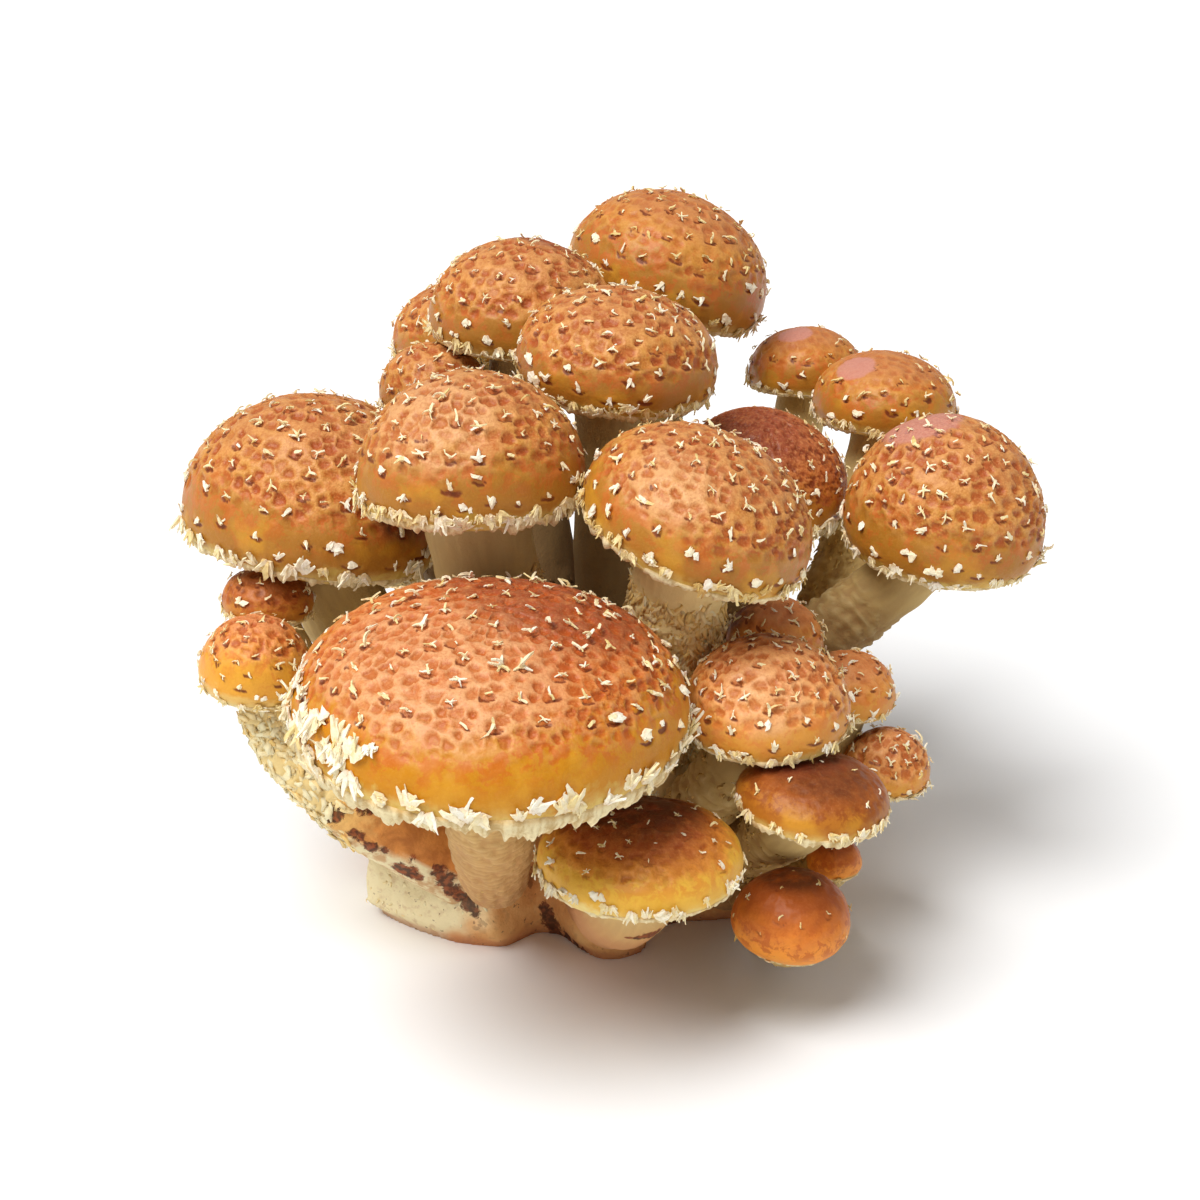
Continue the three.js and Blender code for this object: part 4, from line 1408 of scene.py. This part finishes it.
def stem_material():
    stem = Graph("stem_flesh", Specular_IOR_Level=0.3)
    height = stem.stored("height") + 0.2 * (stem.clouds(5, 3) - 0.5)
    stem.ramp(
        height, (0.0, (190, 142, 92)), (0.3, (204, 164, 100)), (0.7, (214, 182, 112)),
        (1.0, (204, 180, 126)),
    )
    stem.tint(0.22 * (1 - stem.stored("fibre").between(-0.5, 0.6)), (150, 112, 68))
    stem.tint(0.5 * stem.stored("ledge").between(0.3, 0.95), (234, 208, 146))
    gap = stem.stored("wool") * (1 - stem.stored("ledge").between(0.0, 0.3))
    stem.tint(0.34 * gap, (160, 108, 56))
    # A paler tint: painted light on centre_right, which its cap shades, and the stem's own cream on
    # left_small.
    stem.tint(stem.stored("light"), (250, 222, 154))
    stem.tint(0.45 * stem.stored("rosy") * (1 - height.between(0.4, 1)), (214, 150, 100))
    # Painted shade: dark brown low on the inner stems, where they shade each other, and partly browning with
    # age.
    stem.tint(0.88 * stem.stored("old"), (74, 42, 22))
    # Painted shade: the foot of the rosy stems is darker where it meets the base.
    foot = (1 - stem.stored("height").between(0.02, 0.16)) * stem.stored("rosy")
    stem.tint(0.25 * foot, (176, 108, 68))
    marbled = stem.clouds(3.2, 4, 0.6, 0.4).between(0.3, 0.7)
    bark = stem.blend(marbled, (176, 98, 32), (220, 140, 62))
    upward = stem.stored("height") + 0.2 * (stem.clouds(2, 4, 0.6) - 0.5)
    bark = stem.blend(0.85 * upward.between(0.3, 0.45), bark, (240, 190, 110))
    stem.tint(0.94 * stem.stored("rind").between(0.2, 0.6), bark)
    patchy = stem.clouds(2.6, 4, 0.6).between(0.4, 0.6)
    stem.tint(stem.stored("grown"), stem.blend(patchy, (236, 222, 178), (206, 166, 118)))
    dark_marks_over(stem, "bruise", 0.4, 0.62, (66, 22, 8), (150, 70, 30))
    stem.bump(stem.clouds(0.45, 4, 0.6) + 0.4 * stem.clouds(1.6, 3), 0.12)
    return stem.finish(0.62 + 0.2 * stem.clouds(1.1, 2))


dress("stem_skin", stem_mesh, "stem_flesh", stem_material(), "stem")

# %% [markdown]
# ## Stem wool
# The woolly part of a stem is thick with short slips that stand off and curl over. They are planted
# over it at random, more of them where the stem shows.

# %% How the tufts differ
# Centre right's tufts are given a paler tone: painted light where its cap shades them.
tell_apart(
    dict(tufts=0.35, tuft_size=1.1, tuft_width=0.4, tuft_tone=None),
    front_large=dict(tufts=0),
    centre_left=dict(tufts=0.7, tuft_size=1.4, tuft_tone=0.6),
    left_large=dict(tufts=0.2),
    centre_right=dict(tufts=2.2, tuft_size=1.7, tuft_tone=0.8),
    right_large=dict(tufts=0),
    front_low=dict(tufts=0),
    left_small=dict(tufts=1.6, tuft_size=1.9, tuft_width=0.5, tuft_tone=0.95),
)

# %% Stem tufts
def stem_tufts(stem):
    rng = np.random.default_rng(700 + stem.seed)
    start, end = stem.wool
    area = 2 * math.pi * stem.top_radius * stem_length(stem) * (end - start)
    count = max(8, int(area * stem.tufts))
    share = rng.uniform(start, end, count)
    turn = rng.uniform(0, 2 * np.pi, count)
    middle, ahead, side, across = stem_frame(stem, share)
    around = headed(turn, side, across)
    keep = rind_at(stem, share, around) < 0.4
    share, around, middle, ahead = share[keep], around[keep], middle[keep], ahead[keep]
    count = len(share)
    roots = middle + around * stem_radius(stem, share)[:, None]
    slant = rng.normal(0, 0.45, count)
    downward = rng.random(count) < 0.85
    along = np.cos(slant)[:, None] * ahead * np.where(downward, -1, 1)[:, None]
    along = unit(along + np.sin(slant)[:, None] * np.cross(around, ahead))
    size = rng.uniform(0.7, 1.3, count) * stem.tuft_size
    wide = size * rng.uniform(0.8, 1.3, count) * stem.tuft_width
    # Tufts on the darkened inner stems are darker too: painted shade, as on their skin.
    tufts = bent(
        rng, SHORT_SLIP, roots, along, around, columns(size, wide, 0.16 * size),
        drawn_bends(rng, count, (0, 0.4), (-0.6, 0.3), 0.2), rng.uniform(0.2, 0.7, count),
        stem.tuft_tone or 0.5 - 0.5 * stem.old, 0.09,
    )
    return planted(f"{stem.name}_stem_tufts", tufts)


def wool_material():
    wool = Graph("stem_wool", Specular_IOR_Level=0.25)
    wool.ramp(
        wool.stored("tone") + 0.3 * (wool.clouds(2.5, 3) - 0.5),
        (0.0, (96, 66, 36)), (0.25, (160, 120, 66)), (0.5, (216, 180, 106)),
        (0.75, (246, 208, 128)), (1.0, (250, 238, 194)),
    )
    wool.tint(0.15 * (1 - wool.stored("tip").between(0.0, 0.5)), (180, 126, 66))
    wool.bump(wool.clouds(0.35, 3), 0.08)
    return wool.finish(0.7 + 0.1 * wool.clouds(1.2, 2))


WOOL_MATERIAL = wool_material()
dress("stem_tufts", stem_tufts, "stem_flesh", WOOL_MATERIAL)

# %% [markdown]
# ## Base
# The base is where all the stems have grown together, cut off flat below. Its solid has the right form
# but flat faces. A copy of it is merged, remeshed into small even squares, smoothed and pushed in and
# out a little, and what touches the table is pressed flat again. One side of it is pale and furry.

# %% Base form
BASE_GRID = 0.75
FLAT_BELOW = 0.8
# Dark spots where the stems meet the base and along a groove in it, each a point and a size.
BASE_DARK_SPOTS = (
    (-36.7, -14, 13, 1.6), (-35, -15.5, 13, 1), (-32.7, -17, 12, 1.6), (-31, -19, 10.4, 1.3),
    (-29, -19, 12, 1.2), (-26.5, -20, 12.7, 1.8), (-24, -20.5, 11.5, 1.2), (-22, -21, 12, 1.8),
    (-21.6, -21.8, 8.2, 1.9), (-20, -21.8, 6.6, 1.2), (-9.2, -17.5, 5.2, 1), (-8.6, -17.6, 3.8, 1.5),
    (-8, -17.7, 2, 1.8), (-7.3, -17.5, 0.5, 1.6), (-5.4, -19.4, 0.4, 1.5), (-4.2, -21.4, 0.3, 1.2),
    (-2.6, -23, 0.3, 1),
)


def base_mesh():
    shape = bmesh.new()
    shape.from_mesh(frame["nodes"]["base_clump"].data)
    bmesh.ops.remove_doubles(shape, verts=shape.verts[:], dist=1e-6)
    rough = bpy.data.meshes.new("base_rough")
    shape.to_mesh(rough)
    shape.free()
    holder = bpy.data.objects.new("base_rough", rough)
    scene.collection.objects.link(holder)
    remesh = holder.modifiers.new("remesh", "REMESH")
    remesh.mode = "VOXEL"
    remesh.voxel_size = BASE_GRID * MM
    soften = holder.modifiers.new("soften", "SMOOTH")
    soften.iterations = 14
    soften.factor = 0.6
    ready = holder.evaluated_get(bpy.context.evaluated_depsgraph_get())
    mesh = bpy.data.meshes.new_from_object(ready)
    mesh.name = "base_skin"
    bpy.data.objects.remove(holder)
    return mesh


def shape_base(mesh):
    points = read_vectors(mesh) / MM
    normals = read_vectors(mesh, "normal")
    wide = soft_noise(points, 9)
    lumps = soft_noise(points, 3.4, 5)
    fibres = soft_noise(points * np.array([1, 1, 0.35]), 1.3, 3)
    fluff = soft_noise(points, 1.1, 8)
    ragged = 4 * wide + 2.5 * lumps
    pale = smooth(ragged - points[:, 0] + 0.6 * points[:, 2], 18, 34)
    pale = pale * smooth(1.5 * ragged - points[:, 1], -12, 6)
    relief = 0.7 * wide + 0.4 * lumps + 0.18 * fibres + (0.1 + 0.15 * pale) * fluff
    points = points + normals * (relief * smooth(points[:, 2], FLAT_BELOW, 4))[:, None]
    points[points[:, 2] < FLAT_BELOW, 2] = 0
    write_points(mesh, points)
    cut = 1 - smooth(points[:, 2], 0.6, 2.4)
    keep_numbers(mesh, pale=pale, cut=cut, dirt=near_spots(points, BASE_DARK_SPOTS))


# %% Base finish
def base_material():
    base = Graph("base_flesh", Specular_IOR_Level=0.3)
    mottle = base.clouds(6, 4, 0.6, 0.5)
    cream = base.stored("pale") + 0.5 * (mottle - 0.5)
    base.colour = base.blend(mottle.between(0.3, 0.7), (222, 156, 92), (240, 188, 120))
    base.tint(cream.between(0.1, 0.7), (242, 226, 180))
    base.tint(0.35 * base.clouds(1.6, 3).between(0.5, 0.7), (184, 132, 84))
    base.tint(0.5 * base.stored("cut"), (190, 104, 74))
    # Dark spots where the stems meet the base and along a groove.
    dark_marks_over(base, "dirt", 0.36, 0.58, (62, 24, 10), (132, 70, 38))
    hollows = base.clouds(5.2, 4, 0.62, 0.3).between(0.61, 0.65) * (1 - base.stored("pale"))
    base.tint(0.6 * hollows, (112, 62, 34))
    base.tint(0.6 * base.clouds(1.1, 3, 0.6).between(0.66, 0.7), (110, 60, 34))
    base.bump(base.clouds(0.6, 4, 0.6), 0.16)
    return base.finish(0.6 + 0.2 * base.clouds(1.4, 2))


base_surface = base_mesh()
shape_base(base_surface)
add_piece("base_skin", base_surface, "base_flesh", base_material(), "base_clump")
print("faces in the base:", len(base_surface.polygons))

# %% [markdown]
# ## Fibres on the base
# The pale lobe in front is furry: short slips, the same as on the stems, lie on it. They are rooted at
# vertices of the base's own skin, picked where the skin is pale.

# %% Base tufts
BASE_TUFTS = 200


def base_tufts(mesh):
    rng = np.random.default_rng(860)
    points = read_vectors(mesh) / MM
    furry = (read_number(mesh, "pale") > 0.3) & (points[:, 2] > 2) & (read_number(mesh, "dirt") < 0.3)
    count = BASE_TUFTS
    chosen = rng.choice(np.flatnonzero(furry), count, replace=False)
    out = read_vectors(mesh, "normal")[chosen]
    level = unit(np.cross(out, np.array([0.0, 0.0, 1.0])) + 1e-6)
    along = headed(rng.normal(np.pi / 2, 0.8, count), level, np.cross(out, level))
    size = rng.uniform(0.5, 1.3, count)
    return bent(
        rng, SHORT_SLIP, points[chosen], along, out, columns(size, 0.45 * size, 0.12 * size),
        drawn_bends(rng, count, (0, 0.3), (-1, -0.2), 0.3), rng.uniform(0.2, 0.7, count), 1, 0.08,
    )


fur_mesh = planted("base_tufts", base_tufts(base_surface))
add_piece("base_tufts", fur_mesh, "base_flesh", WOOL_MATERIAL)
print("tufts on the base:", len(fur_mesh.vertices) // len(SHORT_SLIP[0]))

# %% [markdown]
# ## Floor and light
# A white table runs on past the edge of the picture. One broad, distant light high on the left gives the
# soft shine on the caps and lights the whole table evenly, and a pale sky fills the shade.

# %% Floor, lamp and sky
def floor_material():
    table = Graph("table_white", Specular_IOR_Level=0.2)
    table.colour = table.blend(table.clouds(40, 2), (246, 246, 246), (250, 250, 250))
    return table.finish(0.8 + 0.05 * table.clouds(30, 2))


table_shape = bmesh.new()
bmesh.ops.create_grid(table_shape, x_segments=2, y_segments=2, size=60)
bmesh.ops.translate(table_shape, verts=table_shape.verts[:], vec=(0, 0, -0.05 * MM))
table_mesh = bpy.data.meshes.new("table")
table_shape.to_mesh(table_mesh)
table_shape.free()
table = bpy.data.objects.new("table", table_mesh)
scene.collection.objects.link(table)
table.data.materials.append(floor_material())

lamp_data = bpy.data.lights.new("key", "SUN")
lamp_data.angle = math.radians(40)
lamp_data.energy = 3.3
lamp = bpy.data.objects.new("key", lamp_data)
scene.collection.objects.link(lamp)
lamp.location = (-0.36, -0.3, 0.9)
lamp.rotation_euler = (-Vector(lamp.location)).to_track_quat("-Z", "Y").to_euler()
sky = bpy.data.worlds.new("sky")
sky.use_nodes = True
background = sky.node_tree.nodes["Background"].inputs
background["Color"].default_value = (1, 1, 1, 1)
background["Strength"].default_value = 0.36
scene.world = sky
scene.view_settings.view_transform = "Standard"
print("lamp and sky ready")

# %% [markdown]
# ## Triangles
# The triangles of every mesh that shows are counted, and the most that one piece has.

# %% Count the triangles
triangles = {}
for thing in scene.objects:
    if thing.type == "MESH" and not thing.hide_render:
        thing.data.calc_loop_triangles()
        triangles[thing.name] = len(thing.data.loop_triangles)
print("triangles:", sum(triangles.values()), "and at most", max(triangles.values()), "in one piece")
